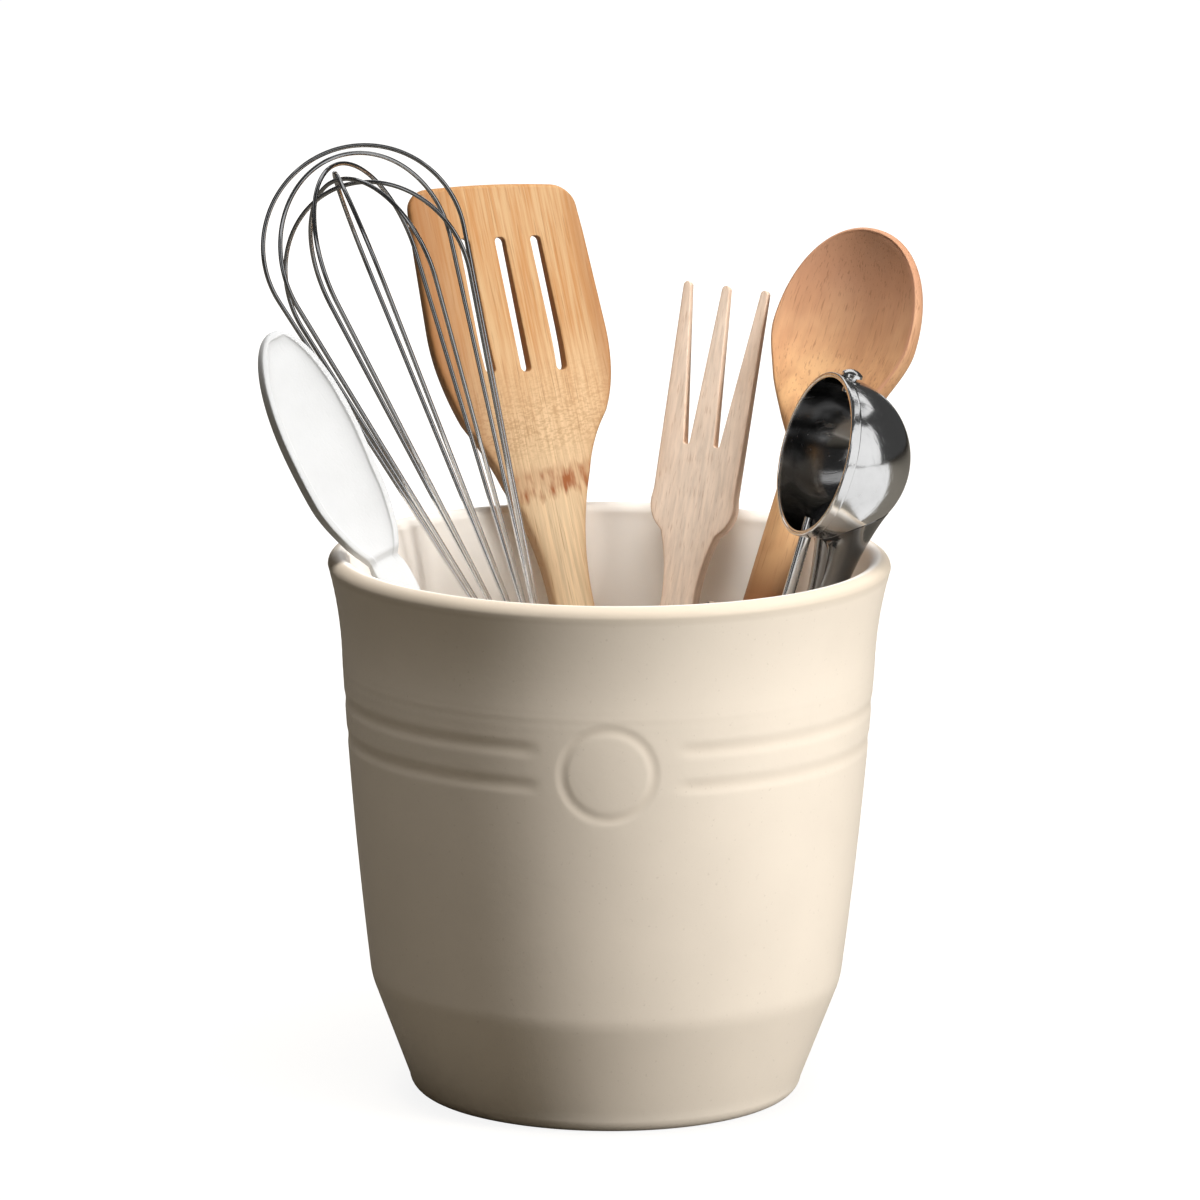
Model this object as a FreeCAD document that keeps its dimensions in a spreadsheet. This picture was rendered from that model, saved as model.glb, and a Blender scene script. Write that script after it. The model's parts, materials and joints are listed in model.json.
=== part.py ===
import FreeCAD, Part
import math
import os
import re
import Sketcher
from FreeCAD import Matrix, Placement, Rotation, Vector

# Driving sizes in millimetres, angles in degrees.
SIZES = {
    # crock: outer profile, wall and floor
    "crock_height": 156.0,
    "rim_radius": 80.0,
    "lip_thickness": 6.4,
    "lip_flare": 4.2,
    "neck_height": 125.0,
    "flare_radius": 115.0,
    "shoulder_radius": 67.6,
    "shoulder_height": 37.0,
    "wall_bow_radius": 1440.0,
    "shoulder_round": 14.0,
    "cone_radius": 66.4,
    "cone_height": 31.5,
    "foot_radius": 56.2,
    "foot_height": 4.6,
    "foot_round": 5.0,
    "base_radius": 51.6,
    "crock_wall": 6.0,
    "crock_floor": 9.0,
    "floor_radius": 47.0,
    "corner_reach": 6.5,
    "corner_height": 8.0,
    "corner_round": 9.0,
    # crock: pressed band and round medallion
    "band_middle_height": 109.05,
    "band_groove_spacing": 10.5,
    "band_groove_round": 4.9,
    "band_groove_depth": 0.55,
    "band_gap_angle": 31.0,
    "medallion_height": 107.7,
    "medallion_radius": 14.0,
    "medallion_ring_width": 2.4,
    "medallion_ring_depth": 0.6,
    # how the utensils stand
    "stand_gap": 0.4,
    "rim_margin": 8.0,
    "spoon_handle_section_count": 16,
    "spoon_head_section_count": 14,
    "white_spoon_turn_angle": 38.0,
    "whisk_turn_angle": 8.0,
    "turner_turn_angle": 20.0,
    "fork_turn_angle": -20.0,
    "wooden_spoon_turn_angle": -27.0,
    "scoop_turn_angle": -70.0,
    # white spoon
    "white_spoon_length": 233.0,
    "white_spoon_head_length": 72.0,
    "white_spoon_head_width": 29.0,
    "white_spoon_head_depth": 13.0,
    "white_spoon_handle_width": 10.6,
    "white_spoon_handle_depth": 8.6,
    "white_spoon_rim_height": 1.6,
    "white_spoon_ramp_length": 14.0,
    "white_spoon_border": 2.2,
    "white_spoon_hollow_depth": 4.2,
    # wooden spoon
    "wooden_spoon_length": 250.5,
    "wooden_spoon_head_length": 68.0,
    "wooden_spoon_head_width": 45.0,
    "wooden_spoon_head_depth": 22.0,
    "wooden_spoon_handle_width": 11.4,
    "wooden_spoon_handle_depth": 10.2,
    "wooden_spoon_rim_height": 3.2,
    "wooden_spoon_ramp_length": 12.0,
    "wooden_spoon_border": 2.6,
    "wooden_spoon_hollow_depth": 10.0,
    # bamboo turner
    "turner_length": 247.5,
    "turner_handle_width": 12.8,
    "turner_flare_start": 116.0,
    "turner_flare_round": 98.0,
    "turner_knuckle_width": 26.0,
    "turner_knuckle_height": 160.0,
    "turner_cheek_width": 43.0,
    "turner_cheek_height": 178.0,
    "turner_cheek_round": 62.0,
    "turner_blade_width": 53.2,
    "turner_blade_height": 205.0,
    "turner_top_width": 50.4,
    "turner_corner": 6.5,
    "turner_top_round": 260.0,
    "turner_top_slant": 7.6,
    "turner_thickness": 6.6,
    "turner_tip_thickness": 3.2,
    "turner_slot_width": 3.0,
    "turner_slot_spacing": 11.0,
    "turner_slot_bottom": 192.0,
    "turner_slot_top": 232.0,
    # wooden fork
    "fork_length": 218.7,
    "fork_handle_width": 10.2,
    "fork_flare_start": 122.0,
    "fork_flare_round": 58.0,
    "fork_throat_width": 17.0,
    "fork_throat_height": 146.0,
    "fork_shoulder_width": 24.8,
    "fork_shoulder_height": 157.0,
    "fork_shoulder_round": 10.0,
    "fork_tip_spread": 26.2,
    "fork_tine_tip_width": 2.4,
    "fork_tine_root_width": 7.5,
    "fork_gap_bottom": 171.4,
    "fork_gap_round": 0.9,
    "fork_thickness": 6.0,
    "fork_tip_thickness": 2.6,
    # whisk
    "whisk_handle_top": 112.0,
    "whisk_handle_radius": 7.0,
    "whisk_grip_round": 1800.0,
    "whisk_bore_radius": 6.0,
    "whisk_plug_length": 14.0,
    "whisk_fit_clearance": 0.03,
    "whisk_wire_radius": 0.65,
    "whisk_wire_circle": 4.4,
    "whisk_wire_bend": 24.0,
    "whisk_leg_length": 2.0,
    "whisk_wire_seat": 10.0,
    "whisk_balloon_radius": 29.0,
    "whisk_balloon_height": 247.4,
    "whisk_apex_step": 2.1,
    "whisk_loop_count": 6,
    "whisk_cap_dome": 5.0,
    "whisk_cap_plug_length": 8.0,
    "whisk_hanger_reach": 9.5,
    "whisk_hanger_wire_radius": 1.1,
    "whisk_hanger_half_width": 3.6,
    "whisk_hanger_seat": 6.0,
    # scoop: bowl, stem and handle
    "scoop_rim_clearance": 8.8,
    "scoop_bowl_radius": 23.2,
    "scoop_bowl_wall": 1.0,
    "scoop_collar_length": 4.6,
    "scoop_collar_step": 0.5,
    "scoop_collar_band": 3.0,
    "scoop_pivot_offset": 10.5,
    "scoop_handle_radius": 7.2,
    "scoop_handle_wall": 1.1,
    "scoop_cap_dome": 5.0,
    "scoop_cap_plug_length": 8.0,
    "scoop_fit_clearance": 0.05,
    "scoop_stem_length": 53.9,
    "scoop_frame_half_width": 8.5,
    "scoop_frame_back": 4.6,
    "scoop_frame_front": 22.6,
    "scoop_cover_thickness": 3.0,
    "scoop_cover_back": 5.0,
    "scoop_tang_length": 18.0,
    "scoop_stem_radius": 4.5,
    "scoop_stem_flare_radius": 10.0,
    "scoop_stem_flare_round": 130.0,
    "scoop_stem_flare_length": 38.0,
    "scoop_stem_reach": 11.0,
    "scoop_braze_gap": 0.02,
    # scoop: gear train
    "gear_pitch_radius": 4.0,
    "pinion_teeth_count": 8,
    "rack_teeth_count": 8,
    "tooth_addendum": 0.8,
    "tooth_dedendum": 1.15,
    "tooth_root_width": 1.8,
    "tooth_tip_width": 0.6,
    "pinion_width": 5.0,
    "pinion_clearance": 0.5,
    "gear_floor": 3.5,
    "gear_end_clearance": 0.3,
    "rack_depth": 3.6,
    "rack_clearance": 0.2,
    "rack_end_margin": 1.2,
    "spindle_radius": 1.7,
    "spindle_clearance": 0.05,
    "spindle_fit_clearance": 0.01,
    "spindle_seat_depth": 2.4,
    # scoop: sweeper
    "sweeper_clearance": 0.4,
    "sweeper_thickness": 0.8,
    "sweeper_angle": 18.0,
    "sweeper_boss_radius": 4.2,
    "sweeper_boss_length": 2.0,
    "sweeper_pole_radius": 3.4,
    "pivot_head_radius": 3.0,
    "pivot_head_length": 2.4,
    # scoop: thumb push and return spring
    "spring_gap": 16.5,
    "spring_coil_radius": 4.9,
    "spring_wire_radius": 0.4,
    "spring_turn_count": 4,
    "spring_end_margin": 0.3,
    "spring_end_length": 2.5,
    "spring_point_count": 480,
    "thumb_pad_width": 12.0,
    "thumb_pad_height": 16.0,
    "thumb_pad_thickness": 3.2,
    "thumb_pad_round": 3.0,
    # scoop: cover screws
    "screw_radius": 1.1,
    "screw_head_radius": 1.9,
    "screw_head_height": 1.5,
    "screw_length": 7.0,
    "screw_side": 6.5,
    "screw_back": 7.4,
    "screw_clearance": 0.03,
    # cuts run past the solid by this much
    "overrun": 5.0,
}

# Where each utensil stands: shares of floor_radius, then shares of the mouth less rim_margin.
FLOOR_SHARES = {
    "white_spoon": (0.13, -0.55),
    "whisk": (0.472, 0.277),
    "turner": (0.32, 0.84),
    "fork": (0.043, 0.511),
    "wooden_spoon": (0.106, -0.191),
    "scoop": (0.50, -0.255),
}
MOUTH_SHARES = {
    "white_spoon": (-0.9828, -0.1829),
    "whisk": (-0.5688, 0.3366),
    "turner": (-0.258, 0.9682),
    "fork": (0.377, 0.938),
    "wooden_spoon": (0.7854, 0.6328),
    "scoop": (0.9783, -0.0763),
}

# Spoon sections: share of the part's length, then share of its width and of its depth there.
HANDLE_SHARES = [
    (0.0, 0.45, 0.45),
    (0.03, 0.88, 0.88),
    (0.12, 0.95, 0.95),
    (0.60, 0.96, 0.97),
    (1.0, 1.0, 1.0),
]
WHITE_HEAD_SHARES = [
    (0.0, 0.38, 0.66),
    (0.12, 0.72, 0.80),
    (0.30, 0.95, 0.96),
    (0.52, 1.0, 1.0),
    (0.78, 0.90, 0.88),
    (0.92, 0.64, 0.60),
    (1.0, 0.20, 0.22),
]
WOODEN_HEAD_SHARES = [
    (0.0, 0.26, 0.48),
    (0.14, 0.54, 0.66),
    (0.30, 0.80, 0.86),
    (0.52, 1.0, 1.0),
    (0.74, 0.91, 0.90),
    (0.90, 0.63, 0.62),
    (1.0, 0.18, 0.20),
]

doc = FreeCAD.newDocument("utensil_crock")
sheet = doc.addObject("Spreadsheet::Sheet", "Sizes")
for row, (alias, number) in enumerate(SIZES.items(), start=1):
    sheet.set(f"A{row}", alias)
    sheet.set(f"B{row}", str(number))
    sheet.setAlias(f"B{row}", alias)
doc.recompute()

made = []


def size(alias):
    """Number held by a cell of the sheet."""
    return float(sheet.get(alias))


def bound(words):
    """Expression with every alias pointed at the sheet."""
    def point(found):
        word = found.group()
        return f"Sizes.{word}" if word in SIZES else word
    return re.sub(r"[a-z][a-z_]*[a-z]", point, words)


def value(words):
    """Present value of an expression in aliases."""
    return float(sheet.evalExpression(bound(words)))


def keep(thing, label, placement):
    """Name a finished sub-part and put it in place."""
    thing.Label = label
    thing.Placement = placement
    made.append(thing)
    return thing


def new_body(name):
    return doc.addObject("PartDesign::Body", name)


def new_sketch(body, name, role, offset="0", shift=("0", "0")):
    """Sketch on one of the body's origin planes, moved along the plane's normal and shifted in it."""
    plane = next(part for part in body.Origin.OriginFeatures if part.Role == role)
    sketch = body.newObject("Sketcher::SketchObject", name)
    sketch.AttachmentSupport = [(plane, "")]
    sketch.MapMode = "FlatFace"
    for axis, words in zip("xyz", (*shift, offset)):
        sketch.setExpression(f"AttachmentOffset.Base.{axis}", bound(words))
    return sketch


def hold(sketch, kind, geometry, position, words):
    """Tie one coordinate of a sketch point to an expression."""
    if words == "0":
        axis = -2 if kind == "DistanceX" else -1
        sketch.addConstraint(Sketcher.Constraint("PointOnObject", geometry, position, axis))
        return
    index = sketch.addConstraint(Sketcher.Constraint(kind, geometry, position, value(words)))
    sketch.setExpression(f"Constraints[{index}]", bound(words))


def hold_radius(sketch, geometry, words):
    index = sketch.addConstraint(Sketcher.Constraint("Radius", geometry, value(words)))
    sketch.setExpression(f"Constraints[{index}]", bound(words))


def arc_between(start, end, radius, side):
    """Arc under a half circle that bulges to one side of the way from start to end."""
    chord = end - start
    reach = math.sqrt(max(radius ** 2 - chord.Length ** 2 / 4, 0))
    leftward = Vector(-chord.y, chord.x, 0).normalize()
    middle = (start + end) / 2
    bulge = leftward if side == "left" else -leftward
    centre = middle - bulge * reach
    ends = (end, start) if side == "left" else (start, end)
    turns = [math.atan2(point.y - centre.y, point.x - centre.x) for point in ends]
    return Part.ArcOfCircle(Part.Circle(centre, Vector(0, 0, 1), radius), *turns)


def outline(body, name, role, corners, offset="0", shift=("0", "0")):
    """Closed outline: each corner is (x, y), or (x, y, side, radius) where an arc leads to the next."""
    sketch = new_sketch(body, name, role, offset, shift)
    points = [Vector(value(corner[0]), value(corner[1]), 0) for corner in corners]
    heads = []
    for number, corner in enumerate(corners):
        start, end = points[number], points[(number + 1) % len(points)]
        if len(corner) == 2:
            geometry = sketch.addGeometry(Part.LineSegment(start, end))
            heads.append((geometry, 1, 2))
        else:
            side, radius = corner[2], corner[3]
            geometry = sketch.addGeometry(arc_between(start, end, value(radius), side))
            heads.append((geometry, 2, 1) if side == "left" else (geometry, 1, 2))
    for number, corner in enumerate(corners):
        before, here = heads[number - 1], heads[number]
        sketch.addConstraint(Sketcher.Constraint("Coincident", before[0], before[2], here[0], here[1]))
        hold(sketch, "DistanceX", here[0], here[1], corner[0])
        hold(sketch, "DistanceY", here[0], here[1], corner[1])
    for corner, head in zip(corners, heads):
        if len(corner) == 4:
            hold_radius(sketch, head[0], corner[3])
    return sketch


def circles(body, name, role, places, offset="0"):
    """Circles, each (x, y, radius)."""
    sketch = new_sketch(body, name, role, offset)
    for across, along, radius in places:
        centre = Vector(value(across), value(along), 0)
        geometry = sketch.addGeometry(Part.Circle(centre, Vector(0, 0, 1), value(radius)))
        hold(sketch, "DistanceX", geometry, 3, across)
        hold(sketch, "DistanceY", geometry, 3, along)
        hold_radius(sketch, geometry, radius)
    return sketch


def rectangle(low_x, low_y, high_x, high_y):
    return [(low_x, low_y), (high_x, low_y), (high_x, high_y), (low_x, high_y)]


def revolve(body, sketch, axis="V_Axis", angle="360"):
    """Turn a sketch about one of its own axes, half the angle each way."""
    feature = body.newObject("PartDesign::Revolution", sketch.Name + "_turned")
    feature.Profile = sketch
    feature.ReferenceAxis = (sketch, [axis])
    feature.Midplane = True
    feature.setExpression("Angle", bound(angle))
    return feature


def pad(body, sketch, length, both_ways=False, backwards=False):
    feature = body.newObject("PartDesign::Pad", sketch.Name + "_pad")
    feature.Profile = sketch
    feature.setExpression("Length", bound(length))
    feature.Midplane = both_ways
    feature.Reversed = backwards
    return feature


def pocket(body, sketch, length, both_ways=False, backwards=False):
    feature = body.newObject("PartDesign::Pocket", sketch.Name + "_pocket")
    feature.Profile = sketch
    feature.setExpression("Length", bound(length))
    feature.Midplane = both_ways
    feature.Reversed = backwards
    return feature


def stand(utensil, end_radius, turn):
    """Placement of a utensil that leans from the crock's floor to its rim and faces one way."""
    floor_x, floor_y = (share * size("floor_radius") for share in FLOOR_SHARES[utensil])
    mouth = size("rim_radius") - size("lip_thickness") - size("rim_margin")
    mouth_x, mouth_y = (share * mouth for share in MOUTH_SHARES[utensil])
    foot = Vector(floor_x, floor_y, size("crock_floor"))
    axis = (Vector(mouth_x, mouth_y, size("crock_height")) - foot).normalize()
    tilt = math.acos(axis.z)
    foot.z += end_radius * math.sin(tilt) + size("stand_gap")
    way = math.radians(size(turn))
    facing = Vector(math.sin(way), -math.cos(way), 0)
    behind = (axis * facing.dot(axis) - facing).normalize()
    across = behind.cross(axis)
    turned = Matrix(across.x, behind.x, axis.x, foot.x,
                    across.y, behind.y, axis.y, foot.y,
                    across.z, behind.z, axis.z, foot.z,
                    0, 0, 0, 1)
    return Placement(turned)


NECK_RADIUS = "(rim_radius - lip_flare)"


def wall_radius(height):
    """Outer radius of the crock's bowed wall at a height, in words."""
    rise = f"(({height} - shoulder_height) / (neck_height - shoulder_height))"
    straight = f"shoulder_radius + ({NECK_RADIUS} - shoulder_radius) * {rise}"
    bow = f"(neck_height - shoulder_height)^2 / (2 * wall_bow_radius) * {rise} * (1 - {rise})"
    return f"({straight} + {bow})"


def build_crock():
    """Turned crock with a rolled lip, two soft band grooves and a pressed medallion ring."""
    body = new_body("crock_turned")
    lip_centre = "(crock_height - lip_thickness / 2)"
    inner_mouth = "rim_radius - lip_thickness"
    profile = outline(body, "crock_profile", "XZ_Plane", [
        ("0", "0"),
        ("base_radius", "0", "right", "foot_round"),
        ("foot_radius", "foot_height"),
        ("cone_radius", "cone_height", "right", "shoulder_round"),
        ("shoulder_radius", "shoulder_height", "right", "wall_bow_radius"),
        (NECK_RADIUS, "neck_height", "left", "flare_radius"),
        ("rim_radius", lip_centre, "right", "lip_thickness / 2"),
        ("rim_radius - lip_thickness / 2", "crock_height", "right", "lip_thickness / 2"),
        (inner_mouth, lip_centre, "right", "flare_radius"),
        (f"{NECK_RADIUS} - crock_wall", "neck_height", "left", "wall_bow_radius"),
        ("shoulder_radius - crock_wall", "shoulder_height"),
        ("floor_radius + corner_reach", "crock_floor + corner_height", "left", "corner_round"),
        ("floor_radius", "crock_floor"),
        ("0", "crock_floor"),
    ])
    revolve(body, profile)
    rings = []
    for side in ("+", "-"):
        height = f"(band_middle_height {side} band_groove_spacing / 2)"
        centre = f"{wall_radius(height)} + band_groove_round - band_groove_depth"
        rings.append((centre, height, "band_groove_round"))
    bands = circles(body, "bands", "YZ_Plane", rings)
    groove = body.newObject("PartDesign::Groove", "bands_groove")
    groove.Profile = bands
    groove.ReferenceAxis = (bands, ["V_Axis"])
    groove.Midplane = True
    groove.setExpression("Angle", bound("360 - band_gap_angle"))
    doc.recompute()

    skin_body = new_body("medallion_skin")
    low = "(medallion_height - medallion_radius - medallion_ring_width)"
    high = "(medallion_height + medallion_radius + medallion_ring_width)"
    skin = outline(skin_body, "skin_profile", "XZ_Plane", [
        (f"{wall_radius(low)} - medallion_ring_depth", low),
        (f"{wall_radius(low)} + overrun", low),
        (f"{wall_radius(high)} + overrun", high),
        (f"{wall_radius(high)} - medallion_ring_depth", high),
    ])
    revolve(skin_body, skin)

    ring_body = new_body("medallion_ring")
    ring = circles(ring_body, "ring_profile", "XZ_Plane", [
        ("0", "medallion_height", "medallion_radius"),
        ("0", "medallion_height", "medallion_radius - medallion_ring_width"),
    ])
    pad(ring_body, ring, "rim_radius + overrun")

    groove = doc.addObject("Part::Common", "medallion_groove")
    groove.Base, groove.Tool = skin_body, ring_body
    crock = doc.addObject("Part::Cut", "crock")
    crock.Base, crock.Tool = body, groove
    keep(crock, "crock", Placement())


def ellipse_wire(half_width, half_depth, height):
    """Ellipse across the utensil's axis, its seam at the back."""
    centre = Vector(0, 0, height)
    side, back = Vector(half_width, 0, 0), Vector(0, half_depth, 0)
    if half_width >= half_depth:
        ellipse, seam = Part.Ellipse(centre + side, centre + back, centre), math.pi / 2
    else:
        ellipse, seam = Part.Ellipse(centre + back, centre - side, centre), 0
    return Part.Wire(Part.ArcOfEllipse(ellipse, seam, seam + 2 * math.pi).toShape())


def eased(table, column, share):
    """Smooth curve through a table's column that never swings past its points."""
    spots = [entry[0] for entry in table]
    heights = [entry[column] for entry in table]
    steps = [(heights[i + 1] - heights[i]) / (spots[i + 1] - spots[i]) for i in range(len(spots) - 1)]
    slopes = [steps[0]]
    for before, after in zip(steps, steps[1:]):
        slopes.append(2 * before * after / (before + after) if before * after > 0 else 0)
    slopes.append(steps[-1])
    piece = max(i for i in range(len(steps)) if share >= spots[i])
    width = spots[piece + 1] - spots[piece]
    part = (share - spots[piece]) / width
    left = 1 - part
    start = left ** 2 * ((1 + 2 * part) * heights[piece] + part * width * slopes[piece])
    end = part ** 2 * ((1 + 2 * left) * heights[piece + 1] - left * width * slopes[piece + 1])
    return start + end


def build_spoon(label, head_shares):
    """One-piece spoon: a loft of ellipses, its face cut flat and hollowed."""
    length, head_length = size(f"{label}_length"), size(f"{label}_head_length")
    head_width, head_depth = size(f"{label}_head_width"), size(f"{label}_head_depth")
    handle_width, handle_depth = size(f"{label}_handle_width"), size(f"{label}_handle_depth")
    rim, ramp = size(f"{label}_rim_height"), size(f"{label}_ramp_length")
    border, hollow_depth = size(f"{label}_border"), size(f"{label}_hollow_depth")
    overrun = size("overrun")
    neck = length - head_length
    handle_count = int(size("spoon_handle_section_count"))
    head_count = int(size("spoon_head_section_count"))
    parts = [(HANDLE_SHARES, handle_width, handle_depth, 0, neck, handle_count),
             (head_shares, head_width, head_depth, neck, head_length, head_count)]
    wires = []
    for table, width, depth, start, reach, count in parts:
        for number in range(count):
            share = number / (count if table is HANDLE_SHARES else count - 1)
            half_width = eased(table, 1, share) * width / 2
            half_depth = eased(table, 2, share) * depth / 2
            wires.append(ellipse_wire(half_width, half_depth, start + share * reach))
    grip, head = Part.makeLoft(wires[:handle_count], True), Part.makeLoft(wires[handle_count - 1:], True)
    for loft in (grip, head):
        if loft.Volume < 0:
            loft.reverse()
    spoon = grip.fuse(head)
    front = -head_depth - overrun
    face = Part.makePolygon([
        Vector(-head_width, -handle_depth, neck - ramp),
        Vector(-head_width, -rim, neck + ramp),
        Vector(-head_width, -rim, length + overrun),
        Vector(-head_width, front, length + overrun),
        Vector(-head_width, front, neck - ramp),
        Vector(-head_width, -handle_depth, neck - ramp),
    ])
    spoon = spoon.cut(Part.Face(face).extrude(Vector(2 * head_width, 0, 0)))
    unit_ball = Part.makeSphere(1, Vector(), Vector(0, 1, 0))
    reach = Matrix()
    reach.scale(head_width / 2 - border, hollow_depth, head_length / 2 - border - ramp / 2)
    hollow = unit_ball.transformGeometry(reach)
    hollow.translate(Vector(0, -rim, neck + head_length / 2 + ramp / 2))
    spoon = spoon.cut(hollow)
    feature = doc.addObject("Part::Feature", label)
    feature.Shape = spoon
    keep(feature, label, stand(label, handle_depth / 2, f"{label}_turn_angle"))


def build_turner():
    """Slotted bamboo turner: outline padded, thinned toward the tip, with three slots."""
    body = new_body("turner")
    half = "turner_handle_width / 2"
    low_top = "(turner_length - turner_top_slant / 2)"
    high_top = "(turner_length + turner_top_slant / 2)"
    right = [
        (half, "turner_flare_start", "left", "turner_flare_round"),
        ("turner_knuckle_width / 2", "turner_knuckle_height"),
        ("turner_cheek_width / 2", "turner_cheek_height", "right", "turner_cheek_round"),
        ("turner_blade_width / 2", "turner_blade_height"),
        ("turner_top_width / 2", f"{low_top} - turner_corner", "right", "turner_corner"),
        ("turner_top_width / 2 - turner_corner", low_top, "right", "turner_top_round"),
    ]
    left = [
        ("turner_corner - turner_top_width / 2", high_top, "right", "turner_corner"),
        ("-turner_top_width / 2", f"{high_top} - turner_corner"),
        ("-turner_blade_width / 2", "turner_blade_height", "right", "turner_cheek_round"),
        ("-turner_cheek_width / 2", "turner_cheek_height"),
        ("-turner_knuckle_width / 2", "turner_knuckle_height", "left", "turner_flare_round"),
        ("-turner_handle_width / 2", "turner_flare_start"),
        ("-turner_handle_width / 2", half, "right", half),
    ]
    end = [("0", "0", "right", half), (half, half)]
    front = outline(body, "turner_front", "XZ_Plane", end + right + left)
    pad(body, front, "turner_thickness", both_ways=True)
    taper = outline(body, "turner_taper", "YZ_Plane", [
        ("turner_thickness / 2", "turner_knuckle_height"),
        ("turner_tip_thickness - turner_thickness / 2", high_top),
        ("turner_tip_thickness - turner_thickness / 2", f"{high_top} + overrun"),
        ("turner_thickness / 2 + overrun", f"{high_top} + overrun"),
        ("turner_thickness / 2 + overrun", "turner_knuckle_height"),
    ])
    pocket(body, taper, "2 * turner_blade_width", both_ways=True)
    slot_half = "turner_slot_width / 2"
    step_up = "turner_top_slant * turner_slot_spacing / turner_top_width"
    slots = [("-turner_slot_spacing", f" + {step_up}"), ("0", ""), ("turner_slot_spacing", f" - {step_up}")]
    for number, (across, lift) in enumerate(slots, start=1):
        slot = outline(body, f"turner_slot_{number}", "XZ_Plane", [
            (f"{across} - {slot_half}", f"turner_slot_bottom{lift} + {slot_half}", "right", slot_half),
            (across, f"turner_slot_bottom{lift}", "right", slot_half),
            (f"{across} + {slot_half}", f"turner_slot_bottom{lift} + {slot_half}"),
            (f"{across} + {slot_half}", f"turner_slot_top{lift} - {slot_half}", "right", slot_half),
            (across, f"turner_slot_top{lift}", "right", slot_half),
            (f"{across} - {slot_half}", f"turner_slot_top{lift} - {slot_half}"),
        ])
        pocket(body, slot, "2 * turner_thickness + overrun", both_ways=True)
    doc.recompute()
    keep(body, "turner", stand("turner", size("turner_thickness") / 2, "turner_turn_angle"))


def build_fork():
    """Three-tined wooden fork: outline padded and thinned toward the tips."""
    body = new_body("fork")
    half = "fork_handle_width / 2"
    tip = "fork_tine_tip_width"
    gap_low = "fork_gap_bottom + fork_gap_round"
    root = "fork_tine_root_width / 2"
    crown = f"(fork_length - {tip} / 2)"
    right = [
        (half, "fork_flare_start", "left", "fork_flare_round"),
        ("fork_throat_width / 2", "fork_throat_height"),
        ("fork_shoulder_width / 2 - fork_shoulder_round / 4",
         "fork_shoulder_height - fork_shoulder_round / 2", "right", "fork_shoulder_round"),
        ("fork_shoulder_width / 2", "fork_shoulder_height"),
        ("fork_tip_spread / 2", crown, "right", f"{tip} / 2"),
        (f"fork_tip_spread / 2 - {tip} / 2", "fork_length", "right", f"{tip} / 2"),
        (f"fork_tip_spread / 2 - {tip}", crown),
        (f"{root} + 2 * fork_gap_round", gap_low, "left", "fork_gap_round"),
        (f"{root} + fork_gap_round", "fork_gap_bottom", "left", "fork_gap_round"),
        (root, gap_low),
        (f"{tip} / 2", crown, "right", f"{tip} / 2"),
    ]
    end = [("0", "0", "right", half), (half, half)]
    top = [("0", "fork_length", "right", f"{tip} / 2")]
    mirrored = []
    forward = end[1:] + right
    for number in range(len(forward) - 1, -1, -1):
        before = forward[number - 1] if number else end[0]
        mirrored.append((f"-({forward[number][0]})", forward[number][1]) + tuple(before[2:]))
    front = outline(body, "fork_front", "XZ_Plane", end + right + top + mirrored)
    pad(body, front, "fork_thickness", both_ways=True)
    taper = outline(body, "fork_taper", "YZ_Plane", [
        ("fork_thickness / 2", "fork_throat_height"),
        ("fork_tip_thickness - fork_thickness / 2", "fork_length"),
        ("fork_tip_thickness - fork_thickness / 2", "fork_length + overrun"),
        ("fork_thickness / 2 + overrun", "fork_length + overrun"),
        ("fork_thickness / 2 + overrun", "fork_throat_height"),
    ])
    pocket(body, taper, "2 * fork_tip_spread", both_ways=True)
    keep(body, "fork", stand("fork", size("fork_thickness") / 2, "fork_turn_angle"))


def tube(body, name, inner, outer, low, high, swell=None):
    """Turned tube, its outside bowed when a swell radius is given."""
    bow = ("right", swell) if swell else ()
    profile = outline(body, name, "XZ_Plane", [
        (inner, low),
        (outer, low) + bow,
        (outer, high),
        (inner, high),
    ])
    revolve(body, profile)


def ball_radius(reach, rise):
    """Radius of the ball whose cap has this reach and rise, in words."""
    return f"(({reach})^2 + ({rise})^2) / (2 * {rise})"


def domed_cap(body, name, low, dome, dome_radius, plug_radius, plug_length):
    """Turned end cap: a dome below and a plug above it."""
    profile = outline(body, name, "XZ_Plane", [
        ("0", low, "right", ball_radius(dome_radius, dome)),
        (dome_radius, f"{low} + {dome}"),
        (plug_radius, f"{low} + {dome}"),
        (plug_radius, f"{low} + {dome} + {plug_length}"),
        ("0", f"{low} + {dome} + {plug_length}"),
    ])
    revolve(body, profile)


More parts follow.
